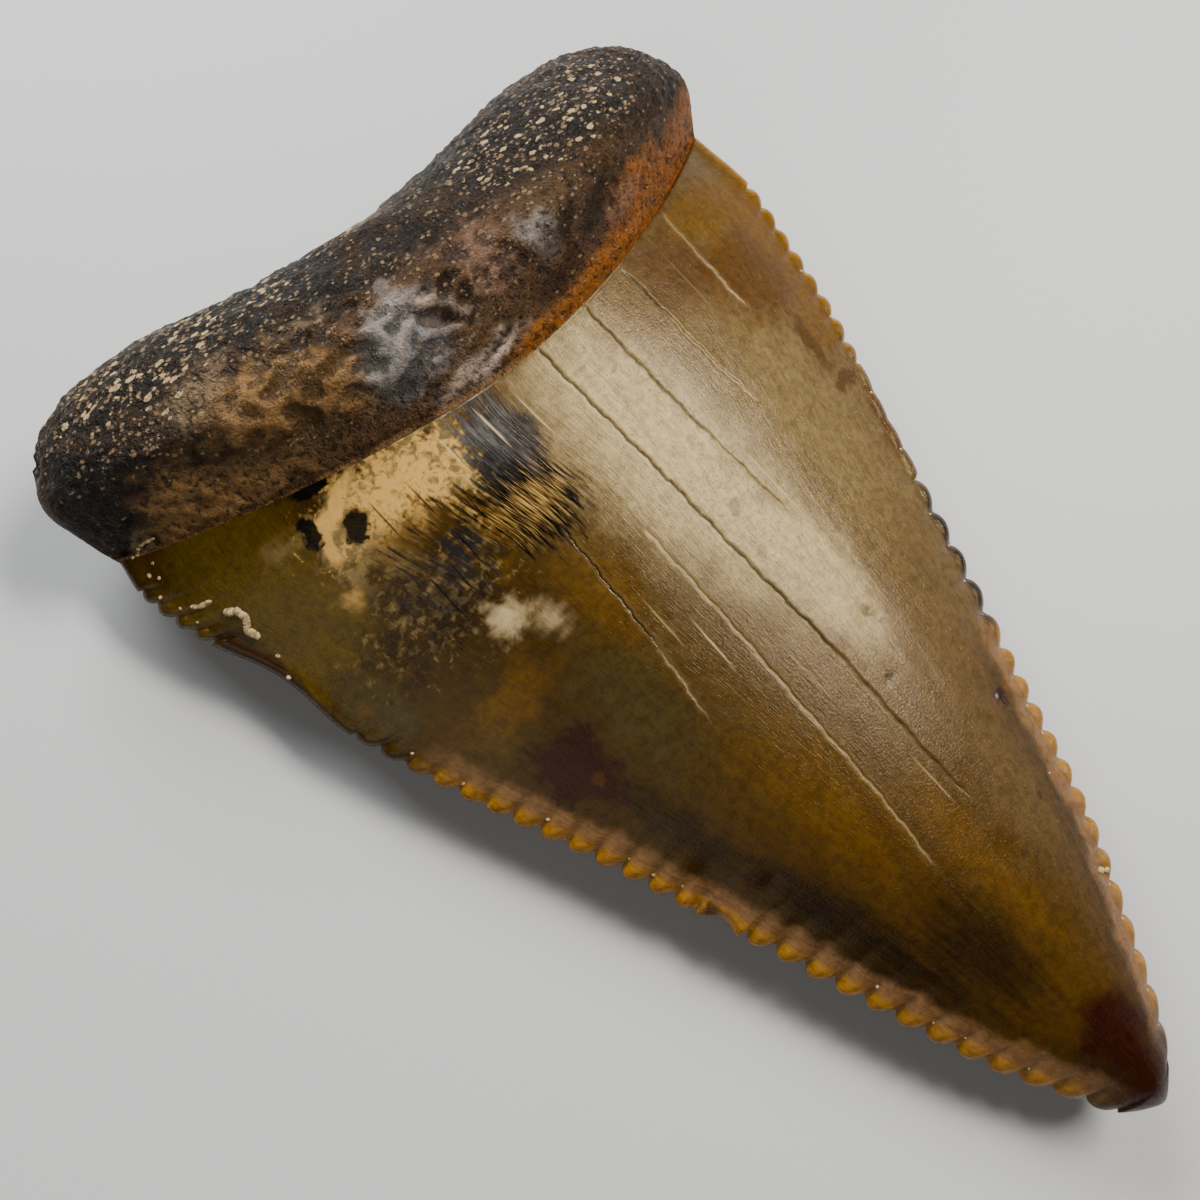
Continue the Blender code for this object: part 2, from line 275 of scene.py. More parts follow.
def serration(side, y):
    """How far the edge is cut in at this height, and 0 in a notch to 1 on a lobe's crest."""
    cut = np.zeros_like(y)
    crest = np.ones_like(y)
    for start, end, lobes, first, last in LEFT_SERRATIONS if side < 0 else RIGHT_SERRATIONS:
        inside = (y >= start) & (y <= end)
        along = (y - start) / (end - start)
        depth = mix(first, last, along)
        lobe = np.abs(np.sin(math.pi * lobes * along)) ** LOBE_ROUNDNESS
        cut = np.where(inside, depth * (1.0 - lobe), cut)
        crest = np.where(inside, 1.0 - (1.0 - lobe) * np.clip(depth / FULL_DEPTH, 0.0, 1.0), crest)
    for middle, half_length, depth in LEFT_CHIPS if side < 0 else []:
        inside = np.abs(y - middle) < half_length
        nick = depth * np.cos(0.5 * math.pi * (y - middle) / half_length) ** 2
        cut = np.where(inside, nick, cut)
    return cut, crest


def boundary_bow(face_bow, y, across):
    """How far a crown row is bent to the tip in its middle."""
    amount = face_bow * smooth((y - BOW_START_Y) / -BOW_START_Y)
    return amount * (1.0 - np.abs(across) ** BOW_POWER)


def crack_x(points, y):
    """A crack's place across the tooth, with a slight jag."""
    jag = 0.0
    for amount, pace, start in CRACK_JAGS:
        jag = jag + amount * np.sin(pace * y + start * points[0][1])
    return spline(points, np.clip(y, points[0][0], points[-1][0])) + jag


def crack_strength(points, y):
    """1 along a crack, fading at both ends."""
    rise = smooth((y - points[0][0]) / CRACK_FADE)
    return rise * smooth((points[-1][0] - y) / 0.25 + 1.0)


def crack_stations(y, middle, half_width):
    """Each crack's place on every row, as a part of the half width."""
    stations = []
    for points, _, _ in CRACKS:
        low, high = points[0][0], points[-1][0]
        part = (spline(points, np.clip(y, low, high)) - middle) / half_width
        for _ in range(3):
            seen_y = y - boundary_bow(LINGUAL_BOW, y, part)
            part = (crack_x(points, seen_y) - middle) / half_width
        seen_y = (y - boundary_bow(LINGUAL_BOW, y, part))[:, 0]
        below = seen_y < low
        above = seen_y > high
        part = part[:, 0]
        part[below] = part[~below][0]
        part[above] = part[~above][-1]
        stations.append(part)
    return np.stack(stations, axis=1)


def plain_columns(count, crowding=COLUMN_CROWDING):
    """Places across the tooth from -1 to 1, crowded towards both edges."""
    q = np.linspace(-1.0, 1.0, count + 1)
    return (1.0 - crowding) * q + crowding * np.sin(0.5 * math.pi * q)


def cracked_columns(y, middle, half_width):
    """Columns of the lingual face, some of which run along the cracks on every row."""
    stations = crack_stations(y, middle, half_width)
    knots = stations[-1]
    plain = plain_columns(LINGUAL_COLUMNS)
    clearance = CRACK_CLEARANCE / CRACK_REFERENCE_WIDTH
    free = np.min(np.abs(plain[:, None] - knots[None, :]), axis=1) > clearance
    steps = np.array(CRACK_SIDE_STEPS) / CRACK_REFERENCE_WIDTH
    extra = (knots[:, None] + steps[None, :]).ravel()
    q = np.sort(np.concatenate([plain[free], extra]))
    knot_places = np.concatenate([[-1.0], knots, [1.0]])
    rows = []
    for row in stations:
        rows.append(np.interp(q, knot_places, np.concatenate([[-1.0], row, [1.0]])))
    return np.array(rows)


def crown_heights(y, across):
    """Lingual and labial height of the plain crown."""
    along = 1.0 - y / TIP_Y
    rise = mix(LINGUAL_RISE_TIP, LINGUAL_RISE_BASE, along ** LINGUAL_TAPER)
    drop = mix(LABIAL_DROP_TIP, LABIAL_DROP_BASE, smooth(along / LABIAL_TAPER))
    from_rest = np.maximum(y - REST_CENTRE_Y, 0.0) / REST_HALF_LENGTH
    drop = drop - (LABIAL_DROP_BASE - EDGE_HEIGHT) * from_rest * from_rest
    blade = (1.0 - np.abs(across) ** BLADE_FLATNESS) ** BLADE_POWER
    labial_blade = (1.0 - np.abs(across) ** LABIAL_FLATNESS) ** LABIAL_POWER
    top = EDGE_HEIGHT + rise * blade * tip_rounding(y)
    bottom = EDGE_HEIGHT - drop * labial_blade * tip_rounding(y)
    return top, bottom


def root_heights(across, depth):
    """Lingual and labial height of the plain root."""
    middle = mix(EDGE_HEIGHT, ROOT_MARGIN_HEIGHT, smooth(depth / MARGIN_EASE))
    roll = np.sqrt(np.maximum(1.0 - depth ** MARGIN_ROUNDNESS, 0.0))
    ease = smooth(depth / LOBE_EASE)
    flatness = mix(BLADE_FLATNESS, LOBE_FLATNESS, ease)
    profile = (1.0 - np.abs(across) ** flatness) ** mix(BLADE_POWER, LOBE_POWER, ease)
    crest = mix(ROOT_RISE_BOUNDARY, ROOT_RISE_CREST, smooth(depth / CREST_DEPTH))
    crest = crest * (1.0 - LOBE_THINNING * across * across)
    top = mix(middle, EDGE_HEIGHT + crest, profile * roll)
    drop = ROOT_DROP + middle - EDGE_HEIGHT - ROOT_LIFT * smooth(depth)
    return top, middle - drop * profile * roll, profile * roll


def turned(x, y, place, turn):
    """Distances from a place, along and over a line turned by some degrees."""
    angle = math.radians(turn)
    along = (x - place[0]) * math.cos(angle) + (y - place[1]) * math.sin(angle)
    over = (y - place[1]) * math.cos(angle) - (x - place[0]) * math.sin(angle)
    return along, over


def marks(features, x, y):
    """Sum of oval lumps (and hollows, where the height is negative)."""
    total = np.zeros_like(x)
    for cx, cy, length, width, turn, height in features:
        along, over = turned(x, y, (cx, cy), turn)
        total += height * np.exp(-((along / length) ** 2) - (over / width) ** 2)
    return total


def oval_part(x, y, place, size, turn):
    """1 in the middle of a turned oval, 0 on its rim, and less outside, at every point."""
    along, over = turned(x, y, place, turn)
    along, over = along / size[0], over / size[1]
    return 1.0 - np.sqrt(along * along + over * over)


def crown_sheet(face, sizes):
    """One face of the crown as a grid of rows and columns, with its markings."""
    part = np.arange(1, CROWN_ROWS + 1) / CROWN_ROWS
    part = part - TIP_CROWDING * np.sin(math.pi * part) * (1.0 - part)
    row_y = (TIP_Y * (1.0 - part))[:, None]
    left, right = plain_edge(-1, row_y), plain_edge(1, row_y)
    middle, half_width = 0.5 * (left + right), 0.5 * (right - left)
    if face > 0:
        across = cracked_columns(row_y, middle, half_width)
    else:
        across = plain_columns(LABIAL_COLUMNS)[None, :] + 0.0 * row_y
    x = middle + half_width * across
    crest = np.ones_like(x)
    for side in (-1, 1):
        distance = (1.0 - side * across) * half_width
        cut, lobe = serration(side, row_y)
        x = x - side * cut * np.exp(-distance / SERRATION_REACH)
        crest = np.where(side * across > 0.0, lobe, crest)
    y = row_y - boundary_bow(LINGUAL_BOW if face > 0 else LABIAL_BOW, row_y, across)
    top, bottom = crown_heights(row_y, across)
    edge = (1.0 - np.abs(across)) * half_width
    thin = np.minimum(half_width / THIN_BELOW, 1.0)
    quarter = np.sqrt(1.0 - (1.0 - np.clip(edge / sizes.edge_radius, 0.0, 1.0)) ** 2)
    rim = sizes.edge_radius * quarter
    bead = sizes.lobe_height * crest * np.exp(-(((edge - BEAD_PLACE) / BEAD_WIDTH) ** 2))
    hollow = (1.0 - crest) * np.exp(-((edge / VALLEY_REACH) ** 2)) * quarter
    valley = sizes.notch_depth * hollow
    swell = (rim + bead - valley) * thin
    height = top + swell if face > 0 else bottom - swell
    return {
        "x": x, "y": y, "z": height, "across": across, "edge": edge, "lobe": crest,
        "boundary": row_y + 0.0 * x, "half_width": half_width + 0.0 * x,
    }


def outline_point(points, part):
    """A place on a smooth curve through evenly timed points."""
    times = [i / (len(points) - 1) for i in range(len(points))]
    x = spline([(t, p[0]) for t, p in zip(times, points)], part)
    y = spline([(t, p[1]) for t, p in zip(times, points)], part)
    return x, y


def root_sheet(face, crown):
    """One face of the root, stretched between the enamel's end, both sides and the margin."""
    depth = np.sin(0.5 * math.pi * np.arange(1, ROOT_ROWS + 1) / ROOT_ROWS)[:, None]
    border = crown["across"][-1]
    columns = plain_columns(ROOT_COLUMNS, ROOT_CROWDING) if face > 0 else border
    across = columns[None, :] + 0.0 * depth
    side_part = 0.5 * (1.0 + across)
    start = [np.interp(columns, border, crown[key][-1])[None, :] for key in ("x", "y")]
    margin = outline_point(ROOT_MARGIN, side_part)
    left = outline_point(ROOT_LEFT_SIDE, depth)
    right = outline_point(ROOT_RIGHT_SIDE, depth)
    place = []
    for axis in (0, 1):
        ruled = mix(start[axis], margin[axis], depth)
        sides = mix(left[axis], right[axis], side_part)
        near = mix(ROOT_LEFT_SIDE[0][axis], ROOT_RIGHT_SIDE[0][axis], side_part)
        far = mix(ROOT_LEFT_SIDE[-1][axis], ROOT_RIGHT_SIDE[-1][axis], side_part)
        place.append(ruled + sides - mix(near, far, depth))
    x, y = place
    top, bottom, thickness = root_heights(across, depth)
    lip = mix(-LIP_DIP, LIP_RISE, smooth(depth / LIP_DEPTH)) * (1.0 - across ** 4)
    top = top + (lip + marks(ROOT_RELIEF, x, y)) * thickness
    half_width = crown["half_width"][-1, 0] + 0.0 * x
    return {
        "x": x, "y": y, "z": top if face > 0 else bottom, "across": across,
        "edge": (1.0 - np.abs(across)) * half_width, "lobe": np.ones_like(x),
        "boundary": y - start[1], "half_width": half_width,
    }


def both_sheets(face, sizes):
    """The crown's and the root's sheet of one face."""
    crown = crown_sheet(face, sizes)
    sheets = (crown, root_sheet(face, crown))
    for sheet in sheets:
        sheet["face"] = np.full_like(sheet["x"], 1.0 if face > 0 else 0.0)
    return sheets


def zipper(near, far, near_places, far_places):
    """Triangles and quads between two rows of points with different counts."""
    faces = []
    i = j = 0
    while i < len(near) - 1 or j < len(far) - 1:
        step_near = i < len(near) - 1 and (
            j == len(far) - 1 or near_places[i + 1] <= far_places[j + 1])
        if step_near:
            faces.append((near[i], near[i + 1], far[j]))
            i += 1
        else:
            faces.append((near[i], far[j + 1], far[j]))
            j += 1
    return faces


def grid_faces(index):
    corners = (index[:-1, :-1], index[:-1, 1:], index[1:, 1:], index[1:, :-1])
    return np.stack([c.ravel() for c in corners], axis=1).tolist()


def join_sheets(sizes):
    """Points, faces and per-point markings of the closed tooth."""
    crown, root = both_sheets(1, sizes)
    labial_sheets = both_sheets(-1, sizes)
    labial = {key: np.concatenate([sheet[key] for sheet in labial_sheets]) for key in crown}
    crown_index = np.arange(crown["x"].size).reshape(crown["x"].shape)
    root_index = crown_index.size + np.arange(root["x"].size).reshape(root["x"].shape)
    left = np.concatenate([crown_index[:, 0], root_index[:, 0]])
    right = np.concatenate([crown_index[:, -1], root_index[:, -1]])
    rows, columns = labial["x"].shape
    first = crown_index.size + root_index.size
    low_index = np.empty((rows - 1, columns), dtype=int)
    low_index[:, 0] = left[:-1]
    low_index[:, -1] = right[:-1]
    low_index[:, 1:-1] = first + np.arange((rows - 1) * (columns - 2)).reshape(rows - 1, -1)
    tip = first + (rows - 1) * (columns - 2)
    tip_values = {
        "x": TIP_X, "y": TIP_Y, "z": EDGE_HEIGHT, "edge": 0.0, "lobe": 1.0,
        "boundary": TIP_Y, "face": 0.5, "across": 0.0,
    }
    points = {}
    for key, tip_value in tip_values.items():
        inner = labial[key][:-1, 1:-1].ravel()
        points[key] = np.concatenate([crown[key].ravel(), root[key].ravel(), inner, [tip_value]])
    points["face"][np.concatenate([left, right, root_index[-1]])] = 0.5
    faces = grid_faces(crown_index) + grid_faces(root_index)
    faces += zipper(crown_index[-1], root_index[0], crown["across"][-1], root["across"][0])
    under = grid_faces(low_index)
    under += zipper(low_index[-1], root_index[-1], labial["across"][-1], root["across"][-1])
    faces += [face[::-1] for face in under]
    top_row, low_row = crown_index[0], low_index[0]
    faces += [(tip, top_row[i + 1], top_row[i]) for i in range(len(top_row) - 1)]
    faces += [(tip, low_row[i], low_row[i + 1]) for i in range(len(low_row) - 1)]
    return points, faces


# Where the root is wrinkled, as an oval's place, size and turn, and how fine the relief is
WRINKLE_ZONE = ((-3.5, -1.2), (9.5, 3.4), -4.0)
WRINKLE_SCALE = (0.75, 1.15, 0.9)
PORE_SCALE = 2.3
LUMP_SCALE = 0.32
PORE_SCALES = ((PORE_SCALE,) * 3, (2.1 * PORE_SCALE,) * 3)
RIDGE_SCALES = ((21.0, 0.05, 0.016), (55.0, 0.09, 0.007))
SWELL_SCALE = (0.22, 0.14, 0.2)
SWELL_HEIGHT = 0.035
FACE_SHIFT = 9.0
BORDER_WIDTH = 0.35
RELIEF_SEED = 17.3
RELIEF_SHOWN = 0.34


def noise_at(x, y, z, scale):
    """Gradient noise, about -1 to 1, at many places."""
    sx, sy, sz = scale
    places = zip((x * sx + RELIEF_SEED).tolist(), (y * sy).tolist(), (z * sz).tolist())
    return np.array([noise.noise(place) for place in places])


def ridged_at(x, y, z, scale, octaves):
    """Sharp-crested folds, about 0 to 1."""
    sx, sy, sz = scale
    places = zip((x * sx).tolist(), (y * sy + RELIEF_SEED).tolist(), (z * sz).tolist())
    folds = [noise.ridged_multi_fractal(place, 0.9, 2.1, octaves, 0.9, 1.6) for place in places]
    return np.clip(np.array(folds) / 2.4, 0.0, 1.0)


def crack_marks(points, lingual):
    """Groove depth, dark line and pale line of the lengthwise cracks at every point."""
    x, y = points["x"], points["y"]
    groove, dark, pale = np.zeros_like(x), np.zeros_like(x), np.zeros_like(x)
    for line, depth, pale_below in CRACKS:
        from_crack = np.abs(x - crack_x(line, y))
        strength = crack_strength(line, y) * lingual
        core = np.exp(-((from_crack / CRACK_HALF_WIDTH) ** 2)) * strength
        lip = np.exp(-(((from_crack - CRACK_LIP_PLACE) / CRACK_LIP_WIDTH) ** 2)) * strength
        darkness = smooth((y - pale_below) / 2.0)
        groove += depth * core - CRACK_LIP_HEIGHT * depth * lip
        dark = np.maximum(dark, core * darkness)
        pale = np.maximum(pale, np.maximum(core * (1.0 - darkness), CRACK_LIP_PALENESS * lip))
    return groove, dark, pale


def fine_relief(points, sizes):
    """Offsets along the normal, in millimetres, and the marks that the materials read."""
    x, y, z = points["x"], points["y"], points["z"]
    lingual = np.clip(2.0 * points["face"] - 1.0, 0.0, 1.0)
    boundary = points["boundary"]
    is_root = smooth(boundary / BORDER_WIDTH)
    inland = smooth(points["edge"] / 1.2)
    side = points["face"] * FACE_SHIFT
    groove, dark, pale = crack_marks(points, lingual * (boundary < 0.0))
    enamel = -groove + marks(ENAMEL_RELIEF, x, y) * lingual
    for across_scale, along_scale, height in RIDGE_SCALES:
        scale = (across_scale, along_scale, 1.0)
        enamel += height * inland * noise_at(points["across"], y, side, scale)
    enamel += SWELL_HEIGHT * inland * noise_at(x, y, z, SWELL_SCALE)
    wrinkled = smooth(2.0 * oval_part(x, y, *WRINKLE_ZONE)) * lingual
    folds = ridged_at(x, y, z, WRINKLE_SCALE, 3) - 0.5
    pores = noise_at(x, y, z, PORE_SCALES[0]) + 0.6 * noise_at(x, y, z, PORE_SCALES[1])
    lumps = noise_at(x, y, z, (LUMP_SCALE,) * 3)
    root = sizes.wrinkle_height * folds * mix(0.25, 1.0, wrinkled)
    root += sizes.pore_height * pores * mix(1.0, 0.4, wrinkled)
    root += sizes.lump_height * lumps * smooth(boundary / 1.5)
    root += marks(FINE_ROOT_RELIEF, x, y) * lingual
    offset = enamel * (1.0 - is_root) + root * is_root * smooth(0.3 + points["edge"] / 0.8)
    raised = np.clip(offset / RELIEF_SHOWN, -1.0, 1.0) * is_root
    return offset, {"crack": dark, "crack_pale": pale, "wrinkled": wrinkled, "raised": raised}


def row_origin():
    """Where the tooth's own millimetre frame has its origin, in the frame's metres."""
    low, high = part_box("tooth")
    part = np.linspace(0.0, 1.0, 201)
    left = outline_point(ROOT_LEFT_SIDE, part)[0].min()
    right = outline_point(ROOT_RIGHT_SIDE, part)[0].max()
    x = 0.5 * (low[0] + high[0]) - 0.5 * (left + right) * MM
    return Vector((x, low[1] - TIP_Y * MM, low[2]))


def place_points(points):
    """Points in metres in the frame, held inside the solid's own box."""
    low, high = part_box("tooth")
    own = np.stack([points["x"], points["y"], points["z"]], axis=1) * MM
    return np.clip(own + np.array(row_origin()), np.array(low), np.array(high))


def point_normals(data):
    normals = np.empty(len(data.vertices) * 3)
    data.vertex_normals.foreach_get("vector", normals)
    return normals.reshape(-1, 3)


def add_marking(data, name, values):
    layer = data.attributes.new(name, "FLOAT", "POINT")
    layer.data.foreach_set("value", np.asarray(values, dtype=np.float32))


def new_object(name, data):
    item = bpy.data.objects.new(name, data)
    bpy.context.scene.collection.objects.link(item)
    return item


def tooth_data(sizes, colours):
    points, faces = join_sheets(sizes)
    plain = np.stack([points["x"], points["y"], points["z"]], axis=1)
    data = bpy.data.meshes.new("tooth_surface")
    data.from_pydata(plain.tolist(), [], faces)
    offset, extra = fine_relief(points, sizes)
    moved = plain + point_normals(data) * offset[:, None]
    points["x"], points["y"], points["z"] = moved.T
    data.vertices.foreach_set("co", place_points(points).ravel())
    for name in ("edge", "lobe", "boundary", "face"):
        add_marking(data, name, points[name])
    add_marking(data, "strand", points["across"] * CRACK_REFERENCE_WIDTH)
    wash, finish = paint(points, colours)
    for name, values in {**extra, **finish}.items():
        add_marking(data, name, values)
    layer = data.attributes.new("wash", "FLOAT_VECTOR", "POINT")
    layer.data.foreach_set("vector", wash.astype(np.float32).ravel())
    data.shade_smooth()
    data.update()
    root_faces = [points["boundary"][list(face)].mean() > 0.0 for face in faces]
    data.polygons.foreach_set("material_index", np.array(root_faces, dtype=np.int32))
    return data


def cloud_at(x, y, z, scale, octaves):
    """Cloudy noise about 0.5 at every point."""
    sx, sy, sz = scale
    weight = sum(2.0 ** (-0.75 * octave) for octave in range(octaves))
    places = zip((x * sx).tolist(), (y * sy).tolist(), (z * sz + RELIEF_SEED).tolist())
    values = np.array([noise.fractal(place, 0.75, 2.0, octaves) for place in places])
    return 0.5 + 0.65 * values / weight


def lay(colour, name, mask, colours):
    """Lay a named colour over the painted one where the mask is high."""
    return mix(colour, np.array(getattr(colours, name))[None, :], np.clip(mask, 0.0, 1.0)[:, None])


def paint_stains(colour, stains, x, y, grains, colours):
    for cx, cy, wide, long, turn, softness, strength, ragged, grain, name in stains:
        part = oval_part(x, y, (cx, cy), (wide, long), turn) + ragged * (grains[grain] - 0.5)
        colour = lay(colour, name, strength * smooth(part / softness), colours)
    return colour


# Heights at which the edge's colours begin and end, down from the shoulder line
LEFT_BAND_TOP = -14.5
RIGHT_BAND_TOP = -27.0
BAND_END = -46.6
RIGHT_AMBER_END = -16.0
RIGHT_DARK_TOP = -20.5
RIGHT_DARK_END = -29.2
BAND_WIDTH = 1.35


def paint_edges(colour, points, grains, colours):
    """The see-through band inside the serrations, the amber lobes and the dark right edge; the lobes
    and the upper right edge are their own amber with a painted glow of light through the thin enamel.
    """
    x, y, edge = points["x"], points["y"], points["edge"]
    left = (x < TIP_X).astype(float)
    right = 1.0 - left
    width = BAND_WIDTH + 0.15 * right + 0.9 * (grains["cloud"] - 0.5)
    reach = left * smooth((LEFT_BAND_TOP - y) / 3.5) + right * smooth((RIGHT_BAND_TOP - y) / 3.0)
    reach = reach * smooth((y - BAND_END) / 2.6)
    line = smooth(1.0 - np.abs(edge / width - 1.45) / 0.45)
    colour = lay(colour, "umber", 0.55 * line * reach, colours)
    band = smooth((1.30 - edge / width) / 0.45)
    colour = lay(colour, "rosy_tan", 0.88 * band * reach, colours)
    # Bright amber on the lobes: their own amber, brightened as a painted glow of light through the
    # thin enamel
    bead = smooth((0.95 - edge) / 0.7) * smooth(points["lobe"] / 0.55)
    colour = lay(colour, "bright_amber", 0.92 * bead * reach, colours)
    # Bright amber along the upper right edge: its own amber with a painted glow of light through it
    upper = smooth((y - RIGHT_AMBER_END) / 3.0) * right
    colour = lay(colour, "bright_amber", 0.7 * smooth((0.8 - edge) / 0.6) * upper, colours)
    dark = smooth((y - RIGHT_DARK_END) / 1.2) * smooth((RIGHT_DARK_TOP - y) / 2.0) * right
    return lay(colour, "dark_umber", 0.9 * smooth((1.0 - edge) / 0.6) * dark, colours)


def paint_enamel(points, drift, grains, colours):
    """The enamel's soft colours: a broad turn from the dark left to the pale right, then stains."""
    x, y = points["x"], points["y"]
    wander = x + 0.12 * y + 5.0 * (grains["cloud"] - 0.5)
    colour = np.array(colours.umber)[None, :] + np.zeros((len(x), 3))
    colour = lay(colour, "olive_tan", smooth((wander + 11.0) / 11.5), colours)
    low = smooth((-22.0 - y - 5.0 * (grains["fibre"] - 0.5)) / 11.0)
    colour = lay(colour, "golden_brown", 0.85 * low, colours)
    plain = lay(colour, "umber", smooth((grains["fibre"] - 0.35) / 0.3), colours)
    inner = paint_stains(colour, ENAMEL_STAINS, *drift, grains, colours)
    dull = smooth((crack_x(CRACKS[0][0], y) - x) / 0.3) * smooth((x + 2.5) / 1.5)
    dull = dull * smooth((-12.0 - y) / 3.0) * smooth((y + 32.0) / 5.0)
    inner = lay(inner, "drab", 0.68 * dull, colours)
    inner_face = smooth(2.0 * points["face"] - 0.5)
    colour = mix(plain, inner, inner_face[:, None])
    return paint_edges(colour, points, grains, colours)


def paint_root(points, drift, grains, colours):
    """The root's soft colours, with the orange lip and the thin golden line at its border."""
    x, y, boundary = points["x"], points["y"], points["boundary"]
    colour = np.array(colours.bone_brown)[None, :] + np.zeros((len(x), 3))
    colour = lay(colour, "bone_black", smooth((grains["cloud"] - 0.3) / 0.4), colours)
    plain = colour
    # Mauve brown over the lower root, the root's own colour
    wear_and_glint = smooth((0.6 - y + 2.2 * (grains["cloud"] - 0.5)) / 1.4) * smooth((x + 16.5) / 1.5)
    colour = lay(colour, "mauve_brown", 0.85 * wear_and_glint, colours)
    colour = paint_stains(colour, ROOT_STAINS, *drift, grains, colours)
    lip_width = 0.55 + 0.07 * x + 0.5 * (grains["cloud"] - 0.5)
    lip = smooth((1.35 - boundary / np.maximum(lip_width, 0.1)) / 0.55) * smooth((x + 0.6) / 1.8)
    colour = lay(colour, "orange", 0.9 * lip, colours)
    colour = lay(colour, "russet", 0.6 * lip * smooth((grains["fine"] - 0.45) / 0.2), colours)
    thin = smooth((0.30 - boundary) / 0.18) * smooth((1.0 - x) / 1.4)
    colour = lay(colour, "rust", 0.9 * thin * smooth((grains["cloud"] - 0.34) / 0.16), colours)
    inner_face = smooth(2.0 * points["face"] - 0.5)
    return mix(plain, colour, inner_face[:, None])


def paint(points, colours):
    """Every point's colour, and how satin and how speckled it is."""
    x, y, z = points["x"], points["y"], points["z"]
    strand = points["across"] * CRACK_REFERENCE_WIDTH
    side = FACE_SHIFT * points["face"]
    grains = {
        "cloud": cloud_at(x, y, z, (0.75, 0.75, 0.75), 4),
        "fibre": cloud_at(strand, y, side, (1.3, 0.22, 1.0), 4),
        "fine": cloud_at(x, y, z, (2.2, 2.2, 2.2), 2),
    }
    drift_x = x + 1.1 * (cloud_at(x, y, z + 40.0, (1.1, 1.1, 1.1), 3) - 0.5)
    drift_y = y + 1.4 * (cloud_at(x, y, z + 80.0, (1.1, 1.1, 1.1), 3) - 0.5)
    drift = (drift_x, drift_y)
    enamel = paint_enamel(points, drift, grains, colours)
    root = paint_root(points, drift, grains, colours)
    wash = np.where((points["boundary"] > 0.0)[:, None], root, enamel)
    inner_face = smooth(2.0 * points["face"] - 0.5)
    speckle = np.full_like(x, 0.25)
    for cx, cy, wide, long, turn, amount in ROOT_SPECKS:
        part = amount * smooth(oval_part(*drift, (cx, cy), (wide, long), turn) / 0.6)
        speckle = np.maximum(speckle, part * inner_face)
    speckle = speckle * smooth((points["boundary"] - 2.2) / 1.6)
    satin = smooth(oval_part(*drift, (3.0, -16.0), (5.0, 14.0), 5.0) / 0.8) * inner_face
    return wash, {"satin": satin, "speckle": speckle}


# How bright the stage's light makes a surface, how much of that is gloss, and how far the
# picture holds back its highlights
LIGHT_LEVEL = 2.25
GLOSS_LEVEL = 0.018
HIGHLIGHT_HOLD = 4.85
LEAST_COLOUR = 0.0006


def as_seen(red, green, blue):
    """The surface colour that looks like this one, 0 to 255, in the picture."""
    values = []
    for part in (red, green, blue):
        part /= 255.0
        light = part / 12.92 if part <= 0.04045 else ((part + 0.055) / 1.055) ** 2.4
        light = light * (1.0 + HIGHLIGHT_HOLD * light ** 3) - GLOSS_LEVEL
        values.append(max(light / LIGHT_LEVEL, LEAST_COLOUR))
    return tuple(values)


def add_node(tree, kind, inputs=None, **settings):
    node = tree.nodes.new(kind)
    for key, value in settings.items():
        setattr(node, key, value)
    for key, value in (inputs or {}).items():
        if isinstance(value, bpy.types.NodeSocket):
            tree.links.new(value, node.inputs[key])
        else:
            node.inputs[key].default_value = value
    return node


def calc(tree, operation, first, second=0.0, third=0.0, clamp=False):
    inputs = {0: first, 1: second, 2: third}
    return add_node(tree, "ShaderNodeMath", inputs, operation=operation, use_clamp=clamp).outputs[0]


def ease(tree, value, low, high):
    """0 below low, 1 above high, smooth between; the other way round if low is above high."""
    inputs = {"Value": value, "From Min": low, "From Max": high}
    return add_node(tree, "ShaderNodeMapRange", inputs, interpolation_type="SMOOTHSTEP").outputs[0]


def blend(tree, factor, first, second):
    """The first colour turning into the second as the factor goes from 0 to 1."""
    node = add_node(tree, "ShaderNodeMix", data_type="RGBA")
    for socket, value in ((node.inputs[0], factor), (node.inputs[6], first), (node.inputs[7], second)):
        if isinstance(value, bpy.types.NodeSocket):
            tree.links.new(value, socket)
        else:
            socket.default_value = value
    return node.outputs[2]


def tint(tree, colour, mask, amount, stain):
    """A stain laid over a colour where the mask is high, at the amount given."""
    return blend(tree, calc(tree, "MULTIPLY", mask, amount), colour, stain)


def stretch(tree, vector, scale, turn=0.0):
    inputs = {"Vector": vector, "Scale": scale, "Rotation": (0.0, 0.0, math.radians(turn))}
    return add_node(tree, "ShaderNodeMapping", inputs).outputs[0]


def cloud(tree, vector, scale, detail=3.0, roughness=0.55, distortion=0.0):
    """Cloudy noise about 0.5."""
    inputs = {
        "Vector": vector, "Scale": scale, "Detail": detail, "Roughness": roughness,
        "Distortion": distortion,
    }
    return add_node(tree, "ShaderNodeTexNoise", inputs, noise_type="FBM").outputs[0]


def marking(tree, name):
    return add_node(tree, "ShaderNodeAttribute", attribute_name=name).outputs["Fac"]


